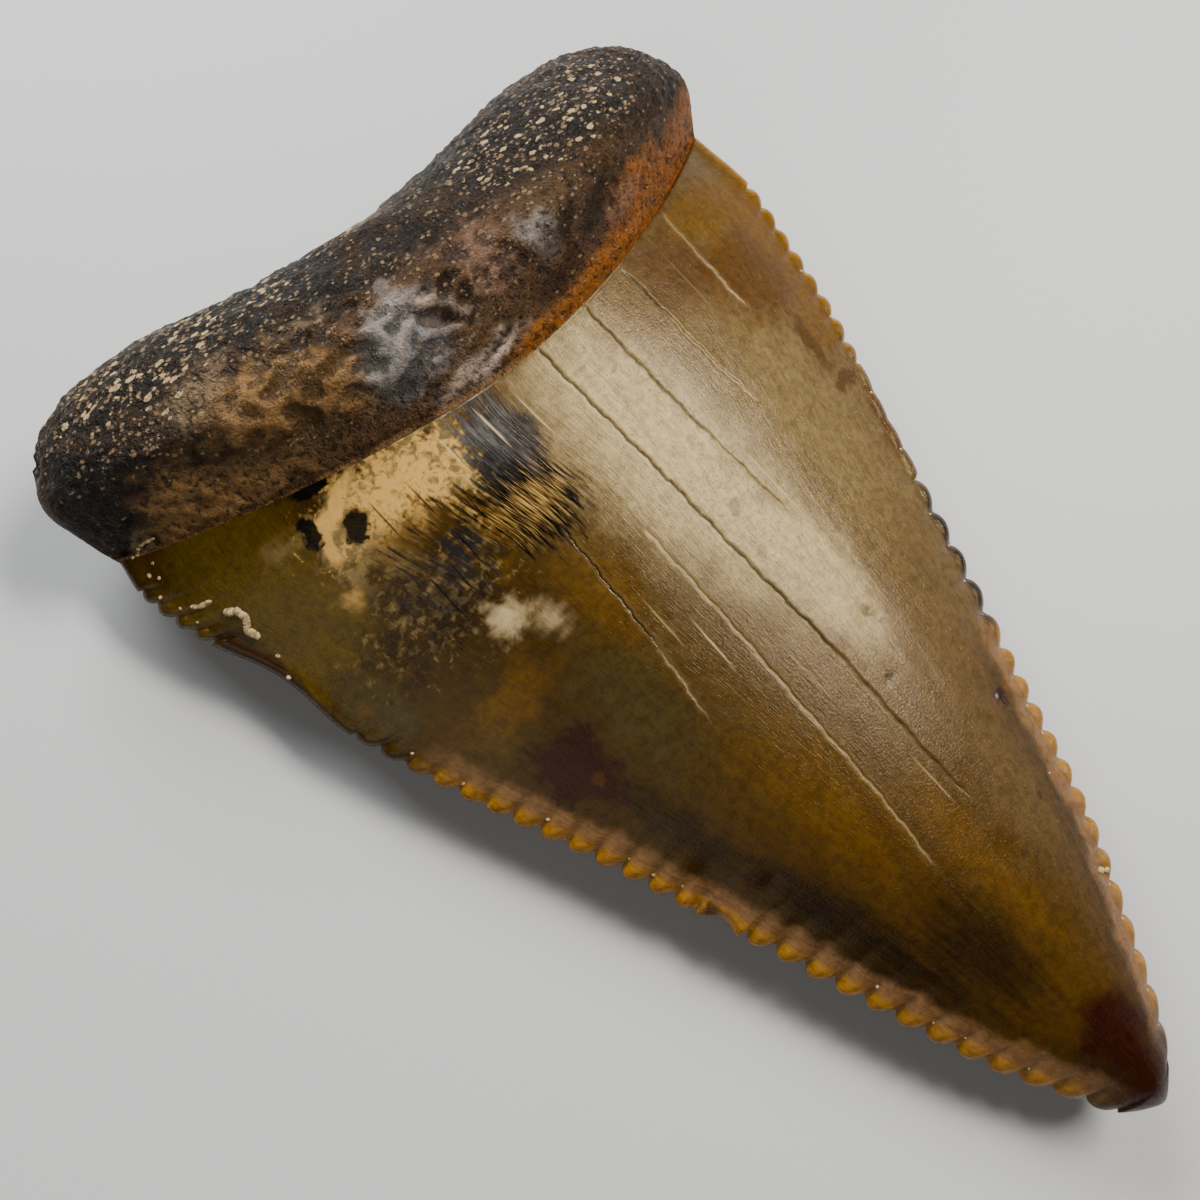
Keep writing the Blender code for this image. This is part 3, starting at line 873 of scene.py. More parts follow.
# Colours as seen on screen, worked into the finishes
PALETTE = {
    "champagne": (198, 186, 150),
    "tan": (162, 142, 95),
    "olive_tan": (138, 112, 70),
    "drab": (112, 90, 60),
    "golden_brown": (104, 74, 24),
    "umber": (88, 66, 30),
    "dark_umber": (40, 28, 12),
    "olive": (126, 102, 40),
    "grey_olive": (98, 86, 54),
    "honey": (142, 104, 34),
    "amber": (140, 100, 0),
    "bright_amber": (182, 144, 24),
    # Bright amber, also used for the painted glow of the lobes and the upper right edge
    "red_brown": (64, 22, 0),
    "mahogany": (66, 18, 0),
    "russet": (116, 76, 14),
    "mauve_brown": (118, 87, 58),
    "rosy_tan": (166, 132, 88),
    "cream": (208, 188, 126),
    "chalk_white": (204, 192, 162),
    "blue_black": (60, 59, 60),
    "slate": (174, 170, 166),
    "bone_black": (28, 22, 17),
    "bone_brown": (84, 62, 42),
    "bone_tan": (168, 148, 116),
    "rust": (174, 144, 92),
    "orange": (172, 114, 34),
    "rosy_bone": (160, 128, 104),
    # Pale bone for painted glints on the root's fold crests
    "silver_bone": (196, 184, 172),
    "maroon": (62, 36, 30),
    "pitch": (6, 5, 5),
}

# Soft stains of the enamel's inner face, painted on the mesh from the broad to the small, and two
# champagne ovals that are partly the enamel's pale colour and partly a painted highlight: x, y,
# half width, half length, turn in degrees, softness of the rim, strength, raggedness, the grain
# that breaks its rim, colour
ENAMEL_STAINS = [
    (9.5, -16.0, 6.2, 10.0, -6.0, 0.9, 0.85, 0.5, "cloud", "tan"),
    (8.5, -26.0, 4.4, 6.5, -12.0, 0.9, 0.75, 0.5, "cloud", "olive_tan"),
    (5.4, -34.5, 3.4, 8.5, -12.0, 0.8, 0.75, 0.4, "cloud", "drab"),
    # The two champagne ovals along the middle: partly the enamel's pale colour, partly a painted
    # highlight strip where the key light reflects
    (2.4, -12.5, 5.0, 12.0, 4.0, 0.8, 0.95, 0.4, "cloud", "champagne"),
    (4.4, -20.5, 2.4, 6.8, 2.0, 0.6, 0.75, 0.4, "fibre", "champagne"),
    (-9.5, -14.0, 6.0, 5.0, 0.0, 0.8, 0.85, 0.9, "cloud", "umber"),
    (-14.5, -6.0, 4.6, 6.5, 10.0, 0.5, 0.90, 0.5, "cloud", "olive"),
    (-5.4, -19.8, 3.0, 4.8, 8.0, 0.8, 0.90, 0.7, "cloud", "grey_olive"),
    (-10.0, -16.6, 3.6, 1.8, 10.0, 0.7, 0.60, 1.0, "cloud", "honey"),
    (-3.6, -16.0, 2.0, 4.0, 0.0, 0.7, 0.45, 0.8, "fibre", "honey"),
    (-2.2, -27.0, 2.8, 8.0, 4.0, 0.8, 0.45, 1.6, "fibre", "honey"),
    (1.2, -34.0, 1.3, 6.5, 0.0, 0.8, 0.40, 1.4, "fibre", "honey"),
    (-5.2, -33.5, 2.3, 9.5, 18.0, 0.7, 0.88, 0.7, "fibre", "dark_umber"),
    (-7.6, -25.0, 1.3, 4.6, 14.0, 0.8, 0.70, 0.6, "cloud", "dark_umber"),
    (-2.6, -22.5, 2.0, 5.5, 6.0, 0.9, 0.45, 1.0, "fibre", "drab"),
    (5.2, -32.5, 2.4, 8.5, -12.0, 0.9, 0.50, 0.9, "cloud", "olive_tan"),
    (-11.5, -17.5, 1.6, 2.0, 20.0, 0.9, 0.60, 1.0, "cloud", "grey_olive"),
    (-1.4, -37.5, 2.4, 4.6, 6.0, 0.8, 0.75, 0.9, "fibre", "dark_umber"),
    (0.6, -23.5, 0.8, 5.5, 2.0, 0.8, 0.35, 1.2, "fibre", "drab"),
    (9.6, -6.3, 3.4, 2.6, 0.0, 0.6, 0.80, 0.5, "cloud", "mauve_brown"),
    (13.6, -8.3, 4.0, 3.4, 0.0, 0.5, 0.75, 0.5, "cloud", "russet"),
    (14.0, -4.2, 4.0, 2.6, 12.0, 0.7, 0.75, 0.5, "cloud", "honey"),
    (16.6, -6.2, 1.7, 5.6, -6.0, 0.6, 0.95, 0.4, "cloud", "amber"),
    (15.0, -12.0, 1.7, 3.0, -16.0, 0.6, 0.85, 0.4, "cloud", "amber"),
    (10.8, -12.6, 2.4, 2.2, 0.0, 0.7, 0.60, 0.5, "cloud", "tan"),
    (13.8, -18.2, 0.75, 3.6, -16.0, 0.7, 0.80, 0.4, "cloud", "russet"),
    (7.8, -18.0, 0.9, 2.4, 0.0, 0.9, 0.30, 0.8, "cloud", "grey_olive"),
    (9.0, -24.2, 1.1, 1.6, 0.0, 0.9, 0.35, 0.8, "cloud", "grey_olive"),
    (6.9, -24.0, 0.6, 4.0, -4.0, 0.9, 0.35, 0.8, "cloud", "drab"),
    (-13.8, -12.6, 1.5, 2.9, 14.0, 0.5, 0.85, 0.5, "cloud", "grey_olive"),
    (-14.0, -12.2, 0.55, 0.45, 0.0, 0.7, 0.60, 0.5, "cloud", "honey"),
    (-16.3, -7.6, 0.8, 3.4, 14.0, 0.6, 0.90, 0.5, "cloud", "red_brown"),
    (-12.6, -15.5, 2.6, 1.4, 30.0, 0.8, 0.60, 0.8, "cloud", "golden_brown"),
    (-12.6, -5.2, 1.6, 1.0, -20.0, 0.8, 0.60, 1.6, "cloud", "tan"),
    (-11.5, -8.4, 1.0, 0.7, 10.0, 0.7, 0.70, 1.4, "cloud", "cream"),
    (-5.8, -10.6, 1.4, 1.8, 0.0, 0.4, 0.60, 1.8, "fibre", "honey"),
    (-8.6, -10.4, 1.6, 1.2, 0.0, 0.4, 0.70, 2.2, "cloud", "russet"),
    (-5.8, -15.2, 0.8, 0.9, 20.0, 0.7, 0.50, 1.2, "cloud", "chalk_white"),
    (-0.6, -21.0, 1.9, 8.0, 2.0, 0.8, 0.50, 0.8, "fibre", "drab"),
    (-11.0, -20.0, 1.3, 0.9, 20.0, 0.6, 0.60, 1.2, "cloud", "red_brown"),
    (-6.2, -29.4, 0.55, 0.6, 0.0, 0.6, 0.75, 0.8, "cloud", "red_brown"),
    (8.5, -31.0, 0.7, 0.7, 0.0, 0.8, 0.55, 0.4, "cloud", "bright_amber"),
    (1.6, -25.7, 1.2, 0.65, 0.0, 0.6, 0.50, 1.4, "fibre", "russet"),
    (0.5, -45.6, 2.9, 4.1, 0.0, 0.34, 0.97, 0.3, "cloud", "mahogany"),
    (-1.7, -44.8, 0.7, 2.6, 32.0, 0.8, 0.45, 0.3, "cloud", "russet"),
]

# Crisp stains and spots of the enamel, laid by the material over the painted ones
CRISP_STAINS = [
    (-7.6, -7.0, 4.6, 3.0, -12.0, 0.35, 0.90, 1.4, "cloud", "tan"),
    (-7.2, -6.9, 4.0, 2.5, -12.0, 0.70, 0.92, 3.0, "mottle", "cream"),
    (-8.4, -8.3, 2.6, 1.4, 10.0, 1.2, 0.85, 4.4, "mottle", "golden_brown"),
    (-6.6, -9.4, 2.8, 1.3, 0.0, 0.8, 0.92, 5.0, "thread", "pitch"),
    (-8.8, -11.2, 3.2, 1.8, 0.0, 1.4, 0.80, 6.0, "mottle", "tan"),
    (-9.6, -5.3, 1.7, 0.50, 28.0, 0.5, 0.85, 0.8, "cloud", "cream"),
    (-10.9, -6.3, 0.50, 1.1, -14.0, 0.5, 0.75, 0.8, "cloud", "cream"),
    (-6.8, -9.0, 3.0, 1.0, 6.0, 1.0, 0.75, 4.0, "fibre", "golden_brown"),
    (-9.0, -11.4, 4.2, 2.4, 0.0, 0.9, 0.62, 4.0, "cloud", "dark_umber"),
    (-7.4, -10.8, 2.9, 1.7, 0.0, 1.3, 0.90, 6.0, "thread", "blue_black"),
    (-2.8, -8.8, 2.0, 4.3, -4.0, 0.45, 0.92, 1.8, "thread", "blue_black"),
    (-2.4, -8.0, 1.9, 2.8, 0.0, 2.2, 0.42, 5.0, "hair", "slate"),
    (-3.2, -11.2, 2.3, 2.0, 0.0, 0.5, 0.92, 2.4, "thread", "pitch"),
    (-3.6, -9.0, 1.6, 3.2, 0.0, 1.4, 0.80, 5.0, "thread", "pitch"),
    (-3.3, -10.9, 2.1, 1.3, -10.0, 2.0, 0.75, 6.0, "hair", "cream"),
    (-3.2, -7.0, 1.8, 1.8, 0.0, 2.4, 0.60, 6.0, "thread", "slate"),
    (-7.3, -13.8, 1.4, 1.1, -24.0, 1.0, 0.80, 1.8, "cloud", "chalk_white"),
    (-10.0, -4.0, 1.1, 0.55, -22.0, 0.3, 0.98, 0.9, "cloud", "pitch"),
    (-11.2, -5.4, 0.50, 0.95, -14.0, 0.3, 0.98, 0.9, "mottle", "pitch"),
    (-9.5, -6.6, 0.70, 0.90, -20.0, 0.3, 0.98, 0.9, "mottle", "pitch"),
    (-9.1, -20.5, 1.8, 2.8, 12.0, 0.4, 0.92, 1.6, "cloud", "red_brown"),
    (13.4, -12.6, 0.62, 2.5, -5.0, 0.5, 0.90, 0.8, "cloud", "golden_brown"),
    (13.7, -15.1, 1.4, 0.42, 6.0, 0.5, 0.90, 0.8, "cloud", "golden_brown"),
    (-8.7, -21.3, 0.35, 0.3, 0.0, 0.7, 0.50, 0.8, "cloud", "russet"),
    (4.95, -23.9, 0.34, 0.30, 0.0, 0.7, 0.65, 0.5, "mottle", "umber"),
    (5.25, -24.6, 0.38, 0.34, 0.0, 0.7, 0.65, 0.5, "mottle", "umber"),
    (3.6, -26.7, 0.24, 0.26, 0.0, 0.7, 0.70, 0.5, "mottle", "dark_umber"),
    (-8.7, -28.8, 0.40, 0.35, 0.0, 0.6, 0.70, 0.6, "mottle", "dark_umber"),
    (7.7, -30.9, 0.62, 0.62, 0.0, 0.5, 0.90, 0.6, "cloud", "red_brown"),
    (7.55, -30.85, 0.24, 0.26, 0.0, 0.6, 0.70, 0.4, "cloud", "slate"),
    (3.5, -16.6, 0.46, 0.46, 0.0, 0.35, 0.60, 0.6, "mottle", "mauve_brown"),
    (3.4, -8.6, 0.40, 0.22, 0.0, 0.5, 0.45, 0.8, "cloud", "mauve_brown"),
    (2.2, -7.6, 0.55, 0.16, 8.0, 0.5, 0.40, 0.8, "cloud", "mauve_brown"),
    (3.0, -18.8, 0.36, 0.16, 0.0, 0.5, 0.40, 0.8, "cloud", "mauve_brown"),
    (4.7, -17.0, 0.40, 0.18, 12.0, 0.5, 0.40, 0.8, "cloud", "mauve_brown"),
    (5.6, -35.1, 0.22, 0.25, 0.0, 0.6, 0.60, 0.4, "cloud", "red_brown"),
]

# Fine lengthwise scratches and strands: x, y, half length, turn, strength, colour
ENAMEL_SCRATCHES = [
    (-1.5, -20.5, 1.7, 0.0, 0.65, "champagne"),
    (-2.5, -18.4, 1.7, 1.0, 0.35, "champagne"),
    (-0.8, -8.0, 1.6, 4.0, 0.70, "champagne"),
    (-2.6, -7.3, 1.4, 4.0, 0.80, "chalk_white"),
    (-8.5, -7.2, 1.3, 2.0, 0.75, "pitch"),
    (-6.8, -7.8, 1.3, 3.0, 0.80, "pitch"),
    (-4.6, -7.0, 1.1, 2.0, 0.70, "chalk_white"),
    (-5.3, -9.4, 1.0, 0.0, 0.75, "pitch"),
    (-6.6, -10.5, 1.0, 2.0, 0.80, "pitch"),
    (-7.6, -11.0, 1.0, 1.0, 0.80, "pitch"),
    (-8.6, -11.4, 1.6, 2.0, 0.80, "pitch"),
    (-4.2, -9.6, 1.4, 1.0, 0.70, "pitch"),
    (9.7, -7.0, 2.6, 0.0, 0.40, "tan"),
    (5.8, -17.0, 2.2, 3.0, 0.55, "champagne"),
    (1.9, -31.0, 1.6, 2.0, 0.30, "champagne"),
    (0.8, -24.0, 2.4, 2.0, 0.25, "champagne"),
    (-1.9, -29.0, 2.0, 3.0, 0.25, "honey"),
    (2.15, -21.0, 2.2, 3.0, 0.35, "umber"),
]
SCRATCH_HALF_WIDTH = 0.07

# Soft stains of the root, with two lines of painted glint along fold crests, given by the same
# ten values as the enamel's
ROOT_STAINS = [
    (-8.0, 3.6, 10.0, 3.0, -4.0, 0.6, 0.85, 0.8, "cloud", "bone_black"),
    (8.5, 2.6, 9.5, 3.6, 0.0, 0.6, 0.85, 0.8, "cloud", "bone_black"),
    (-11.0, 1.4, 2.6, 1.2, 6.0, 0.7, 0.70, 1.2, "cloud", "bone_tan"),
    (-6.5, 0.9, 2.2, 0.6, 0.0, 0.7, 0.50, 1.4, "cloud", "bone_tan"),
    (-8.6, -1.5, 4.6, 2.7, -16.0, 0.5, 0.90, 1.2, "cloud", "rust"),
    (-13.2, -1.3, 4.2, 1.2, -24.0, 0.5, 0.90, 0.8, "cloud", "rust"),
    (-8.2, -3.3, 3.6, 0.6, -20.0, 0.7, 0.45, 1.4, "cloud", "bone_brown"),
    (-3.2, -2.5, 3.0, 2.2, 24.0, 0.5, 0.92, 1.0, "cloud", "slate"),
    (-4.6, -3.9, 1.8, 0.7, -12.0, 0.7, 0.60, 1.0, "cloud", "blue_black"),
    # Two lines of pale bone along fold crests: painted glints, with some worn pale bone
    (-1.2, -2.4, 1.6, 0.6, -36.0, 0.6, 0.70, 1.2, "cloud", "silver_bone"),
    (-0.8, -5.0, 2.6, 0.6, 6.0, 0.6, 0.70, 1.2, "cloud", "silver_bone"),
    (1.9, -1.7, 2.0, 2.3, -10.0, 0.7, 0.75, 1.4, "cloud", "rosy_bone"),
    (4.3, -2.3, 1.5, 1.2, -20.0, 0.8, 0.60, 1.2, "cloud", "slate"),
    (7.0, -2.4, 2.4, 0.9, 20.0, 0.7, 0.60, 1.2, "cloud", "bone_brown"),
    (4.8, -3.9, 3.2, 0.6, 14.0, 0.7, 0.60, 1.0, "cloud", "maroon"),
    (12.0, -1.7, 4.6, 0.9, 17.0, 0.6, 0.90, 0.9, "cloud", "orange"),
    (9.6, -2.6, 2.4, 0.8, 20.0, 0.7, 0.60, 1.0, "cloud", "rosy_bone"),
    (-0.9, 4.0, 1.9, 0.6, -24.0, 0.6, 0.60, 1.5, "cloud", "bone_tan"),
    (0.6, 5.0, 1.0, 0.8, 0.0, 0.8, 0.45, 0.8, "cloud", "rosy_bone"),
    (9.0, 6.2, 5.5, 0.9, 3.0, 0.7, 0.75, 0.8, "cloud", "maroon"),
    (-17.2, 1.6, 1.8, 2.8, 0.0, 0.5, 0.92, 0.5, "cloud", "pitch"),
    (-15.6, 2.6, 2.6, 1.4, 30.0, 0.7, 0.60, 0.8, "cloud", "pitch"),
    (-17.2, -0.3, 1.0, 0.4, 0.0, 0.5, 0.60, 1.5, "cloud", "bone_tan"),
]

# Pale specks in the pores of the root: x, y, half width, half length, turn, amount
ROOT_SPECKS = [
    (-15.2, 4.4, 1.8, 0.9, 8.0, 1.0),
    (-12.8, 3.7, 2.6, 0.8, -6.0, 1.0),
    (-10.6, 2.5, 2.0, 0.9, -8.0, 0.8),
    (-8.0, 3.8, 5.0, 2.0, -6.0, 0.85),
    (-2.2, 3.9, 2.4, 0.8, -20.0, 0.75),
    (8.0, 2.0, 8.5, 3.4, 0.0, 0.62),
    (6.0, 3.2, 3.6, 1.2, 12.0, 0.80),
    (12.5, 3.0, 3.4, 2.0, -10.0, 0.60),
    (-12.0, 5.4, 6.0, 1.4, -4.0, 0.70),
    (-13.5, 2.0, 3.5, 1.8, -6.0, 0.65),
]


def colour_property(name):
    title = name.replace("_", " ").capitalize()
    return FloatVectorProperty(
        name=title, description=title + " as used in the tooth's finish", subtype="COLOR",
        default=as_seen(*PALETTE[name]), min=0.0, max=1.0)


class ToothColours(bpy.types.PropertyGroup):
    __annotations__ = {name: colour_property(name) for name in PALETTE}


def opaque(colours, name):
    return (*getattr(colours, name), 1.0)


def oval_mask(tree, x, y, place, size, turn):
    """1 in the middle of a turned oval, 0 on its rim, and less outside."""
    angle = math.radians(turn)
    cosine, sine = math.cos(angle), math.sin(angle)
    squares = 0.0
    for axis_x, axis_y, half in ((cosine, sine, size[0]), (-sine, cosine, size[1])):
        offset = -(place[0] * axis_x + place[1] * axis_y) / half
        part = calc(tree, "MULTIPLY_ADD", y, axis_y / half, offset)
        part = calc(tree, "MULTIPLY_ADD", x, axis_x / half, part)
        squares = calc(tree, "MULTIPLY_ADD", part, part, squares)
    return calc(tree, "SUBTRACT", 1.0, calc(tree, "SQRT", squares))


def stain_group():
    """A reusable stain: an oval whose rim is broken by a grain, laid over a colour."""
    name = "stain"
    if name in bpy.data.node_groups:
        return bpy.data.node_groups[name]
    tree = bpy.data.node_groups.new(name, "ShaderNodeTree")
    face = tree.interface
    for title, kind in (
            ("Under", "NodeSocketColor"), ("Oval", "NodeSocketFloat"), ("Grain", "NodeSocketFloat"),
            ("Ragged", "NodeSocketFloat"), ("Softness", "NodeSocketFloat"),
            ("Strength", "NodeSocketFloat"), ("Stain", "NodeSocketColor")):
        face.new_socket(title, in_out="INPUT", socket_type=kind)
    face.new_socket("Colour", in_out="OUTPUT", socket_type="NodeSocketColor")
    given = add_node(tree, "NodeGroupInput").outputs
    centred = calc(tree, "SUBTRACT", given["Grain"], 0.5)
    broken = calc(tree, "MULTIPLY_ADD", centred, given["Ragged"], given["Oval"])
    mask = ease(tree, broken, 0.0, given["Softness"])
    factor = calc(tree, "MULTIPLY", mask, given["Strength"])
    laid = blend(tree, factor, given["Under"], given["Stain"])
    add_node(tree, "NodeGroupOutput", {"Colour": laid})
    return tree


def lay_stains(tree, colour, stains, x, y, grains, colours):
    for cx, cy, wide, long, turn, softness, strength, ragged, grain, name in stains:
        node = tree.nodes.new("ShaderNodeGroup")
        node.node_tree = stain_group()
        oval_part = oval_mask(tree, x, y, (cx, cy), (wide, long), turn)
        for key, socket in (("Under", colour), ("Oval", oval_part), ("Grain", grains[grain])):
            tree.links.new(socket, node.inputs[key])
        for key, value in (("Ragged", ragged), ("Softness", softness), ("Strength", strength)):
            node.inputs[key].default_value = value
        node.inputs["Stain"].default_value = opaque(colours, name)
        colour = node.outputs[0]
    return colour


def new_material(name):
    material = bpy.data.materials.new(name)
    material.use_nodes = True
    shader = material.node_tree.nodes["Principled BSDF"]
    return material, material.node_tree, shader


def rise(tree, shader, height, strength, distance):
    """Give a surface its finest grain, with a height in millimetres."""
    inputs = {"Strength": strength, "Distance": distance * MM, "Height": height}
    bump = add_node(tree, "ShaderNodeBump", inputs)
    tree.links.new(bump.outputs[0], shader.inputs["Normal"])


def tooth_places(tree):
    """The place on the tooth in its own millimetres, and its x and y."""
    coordinates = add_node(tree, "ShaderNodeTexCoord").outputs["Object"]
    inputs = {"Vector": coordinates, "Location": row_origin(), "Scale": (MM, MM, MM)}
    place = add_node(tree, "ShaderNodeMapping", inputs, vector_type="TEXTURE").outputs[0]
    split = add_node(tree, "ShaderNodeSeparateXYZ", {0: place}).outputs
    return place, split[0], split[1]


def painted(tree):
    """The colour painted on the mesh's points."""
    return add_node(tree, "ShaderNodeAttribute", attribute_name="wash").outputs["Color"]


def joined(tree, x, y, z):
    return add_node(tree, "ShaderNodeCombineXYZ", {0: x, 1: y, 2: z}).outputs[0]


def drifting(tree, place, x, y, scale, amounts):
    """The x and y of a place, pushed about by noise so that stains have natural outlines."""
    drift = add_node(tree, "ShaderNodeTexNoise", {"Vector": place, "Scale": scale, "Detail": 2.0})
    split = add_node(tree, "ShaderNodeSeparateColor", {0: drift.outputs["Color"]}).outputs
    moved = []
    for part, push, amount in ((x, split[0], amounts[0]), (y, split[1], amounts[1])):
        centred = calc(tree, "SUBTRACT", push, 0.5)
        moved.append(calc(tree, "MULTIPLY_ADD", centred, amount, part))
    return moved


# How strongly each surface mirrors, against clear glass at 0.5, and the tint of that mirroring
ENAMEL_GLOSS = 0.30
ENAMEL_SHEEN = (1.0, 0.84, 0.60, 1.0)
ROOT_GLOSS = 0.20
ROOT_SHEEN = (1.0, 0.92, 0.82, 1.0)


def enamel_grains(tree, place, y):
    """Clouds, and fibres that run along the crown and close up towards its tip."""
    strand = marking(tree, "strand")
    along = joined(tree, strand, y, marking(tree, "face"))
    return {
        "cloud": cloud(tree, place, 0.9, 3.0, 0.65, 0.3),
        "mottle": cloud(tree, place, 2.6, 3.0, 0.6, 0.4),
        "fibre": cloud(tree, stretch(tree, along, (1.5, 0.28, 3.0)), 1.0, 3.0, 0.65),
        "thread": cloud(tree, stretch(tree, along, (5.5, 0.55, 3.0)), 1.0, 3.0, 0.6),
        "hair": cloud(tree, stretch(tree, along, (15.0, 0.8, 3.0)), 1.0, 2.0, 0.6),
        "grain": cloud(tree, place, 8.0, 2.0, 0.6),
    }


def enamel_material(colours):
    material, tree, shader = new_material("enamel")
    place, x, y = tooth_places(tree)
    grains = enamel_grains(tree, place, y)
    drift_x, drift_y = drifting(tree, place, x, y, 1.1, (0.9, 1.3))
    brown, dark_brown = opaque(colours, "golden_brown"), opaque(colours, "dark_umber")
    wash = painted(tree)
    wash = tint(tree, wash, ease(tree, grains["thread"], 0.40, 0.68), 0.28, brown)
    wash = tint(tree, wash, ease(tree, grains["hair"], 0.50, 0.72), 0.28, dark_brown)
    wash = tint(tree, wash, ease(tree, grains["mottle"], 0.62, 0.34), 0.30, dark_brown)
    crisp = lay_stains(tree, wash, CRISP_STAINS, drift_x, drift_y, grains, colours)
    for sx, sy, long, turn, strength, name in ENAMEL_SCRATCHES:
        line = [(sx, sy, SCRATCH_HALF_WIDTH, long, turn, 0.6, strength, 1.0, "thread", name)]
        crisp = lay_stains(tree, crisp, line, x, y, grains, colours)
    inner_face = ease(tree, marking(tree, "face"), 0.3, 0.7)
    colour = blend(tree, inner_face, wash, crisp)
    satin = marking(tree, "satin")
    colour = tint(tree, colour, marking(tree, "crack_pale"), 0.40, opaque(colours, "champagne"))
    flecks = calc(tree, "MULTIPLY", ease(tree, grains["grain"], 0.56, 0.70), satin)
    colour = tint(tree, colour, flecks, 0.45, opaque(colours, "umber"))
    colour = tint(tree, colour, marking(tree, "crack"), 0.95, opaque(colours, "pitch"))
    tree.links.new(colour, shader.inputs["Base Color"])
    rough = calc(tree, "MULTIPLY_ADD", satin, 0.14, 0.02)
    rough = calc(tree, "MULTIPLY_ADD", grains["grain"], 0.24, rough)
    rough = calc(tree, "MULTIPLY_ADD", grains["cloud"], 0.2, rough, clamp=True)
    tree.links.new(rough, shader.inputs["Roughness"])
    fine = calc(tree, "MULTIPLY", calc(tree, "ADD", grains["hair"], grains["grain"]), 0.5)
    rise(tree, shader, fine, 0.6, 0.05)
    glow = ease(tree, marking(tree, "edge"), 2.6, 0.3)
    tree.links.new(calc(tree, "MULTIPLY", glow, 0.35), shader.inputs["Subsurface Weight"])
    shader.inputs["Subsurface Radius"].default_value = (1.0, 0.6, 0.25)
    shader.inputs["Subsurface Scale"].default_value = 0.7 * MM
    shader.inputs["Specular IOR Level"].default_value = ENAMEL_GLOSS
    shader.inputs["Specular Tint"].default_value = ENAMEL_SHEEN
    return material


def pore_specks(tree, place, scale, turn, density, ragged):
    """1 on scattered specks with ragged rims; the density is the part of the cells that has one."""
    inputs = {"Vector": stretch(tree, place, scale, turn), "Scale": 1.0}
    cells = add_node(tree, "ShaderNodeTexVoronoi", inputs)
    chance = add_node(tree, "ShaderNodeSeparateColor", {0: cells.outputs["Color"]}).outputs
    size = calc(tree, "MULTIPLY_ADD", chance[1], 0.30, 0.20)
    size = calc(tree, "MULTIPLY_ADD", calc(tree, "SUBTRACT", ragged, 0.5), 0.9, size)
    inside = ease(tree, calc(tree, "SUBTRACT", size, cells.outputs["Distance"]), 0.0, 0.07)
    kept = ease(tree, calc(tree, "SUBTRACT", density, chance[0]), 0.0, 0.05)
    return calc(tree, "MULTIPLY", inside, kept)


def root_material(colours):
    material, tree, shader = new_material("root_bone")
    place = tooth_places(tree)[0]
    wrinkled = marking(tree, "wrinkled")
    speckled = marking(tree, "speckle")
    raised = marking(tree, "raised")
    pores = cloud(tree, place, 3.6, 4.0, 0.65, 0.2)
    grit = cloud(tree, place, 9.0, 2.0, 0.65)
    colour = painted(tree)
    # Pitch in the low parts of the pore grain, less in the wrinkled zone: the pores' own dark with
    # painted shade in them
    hollows = calc(tree, "MULTIPLY_ADD", wrinkled, -0.60, 0.75)
    colour = tint(tree, colour, ease(tree, pores, 0.50, 0.36), hollows, opaque(colours, "pitch"))
    # Bone tan on the high parts of the fine grit, which also raises the bump: painted highlight on the
    # grains, with their own pale colour
    colour = tint(tree, colour, ease(tree, grit, 0.54, 0.68), 0.26, opaque(colours, "bone_tan"))
    # Bone black where the relief and the pore grain sink: painted shade in the hollows of the folds
    ruffled = calc(tree, "MULTIPLY_ADD", calc(tree, "SUBTRACT", pores, 0.5), 0.9, raised)
    sunk = ease(tree, ruffled, -0.05, -0.60)
    colour = tint(tree, colour, sunk, 0.65, opaque(colours, "bone_black"))
    # Pale bone on the raised crests of the wrinkled zone: painted glints, with some worn pale bone
    wear_and_glint = calc(tree, "MULTIPLY", ease(tree, ruffled, 0.26, 0.90), wrinkled)
    colour = tint(tree, colour, wear_and_glint, 0.60, opaque(colours, "silver_bone"))
    density = calc(tree, "MULTIPLY_ADD", speckled, 1.10, 0.10)
    fine = pore_specks(tree, place, (3.4, 5.4, 5.0), 20.0, density, pores)
    colour = tint(tree, colour, fine, 0.85, opaque(colours, "bone_tan"))
    density = calc(tree, "MULTIPLY_ADD", speckled, 1.20, -0.34)
    speck = pore_specks(tree, place, (1.9, 3.3, 2.4), -20.0, density, pores)
    colour = tint(tree, colour, speck, 0.85, opaque(colours, "chalk_white"))
    tree.links.new(colour, shader.inputs["Base Color"])
    rough = calc(tree, "MULTIPLY_ADD", wrinkled, -0.16, 0.33)
    rough = calc(tree, "MULTIPLY_ADD", pores, 0.3, rough)
    rough = calc(tree, "MULTIPLY_ADD", speck, 0.25, rough, clamp=True)
    tree.links.new(rough, shader.inputs["Roughness"])
    rise(tree, shader, calc(tree, "MULTIPLY_ADD", grit, 0.45, pores), 1.0, 0.26)
    shader.inputs["Specular IOR Level"].default_value = ROOT_GLOSS
    shader.inputs["Specular Tint"].default_value = ROOT_SHEEN
    return material


def chalk_material(colours):
    material, tree, shader = new_material("chalk")
    place = tooth_places(tree)[0]
    lumps = cloud(tree, place, 5.0, 4.0, 0.6, 0.2)
    dull, white = opaque(colours, "tan"), opaque(colours, "chalk_white")
    colour = blend(tree, ease(tree, lumps, 0.35, 0.65), dull, white)
    tree.links.new(colour, shader.inputs["Base Color"])
    shader.inputs["Roughness"].default_value = 0.8
    rise(tree, shader, lumps, 0.6, 0.06)
    return material


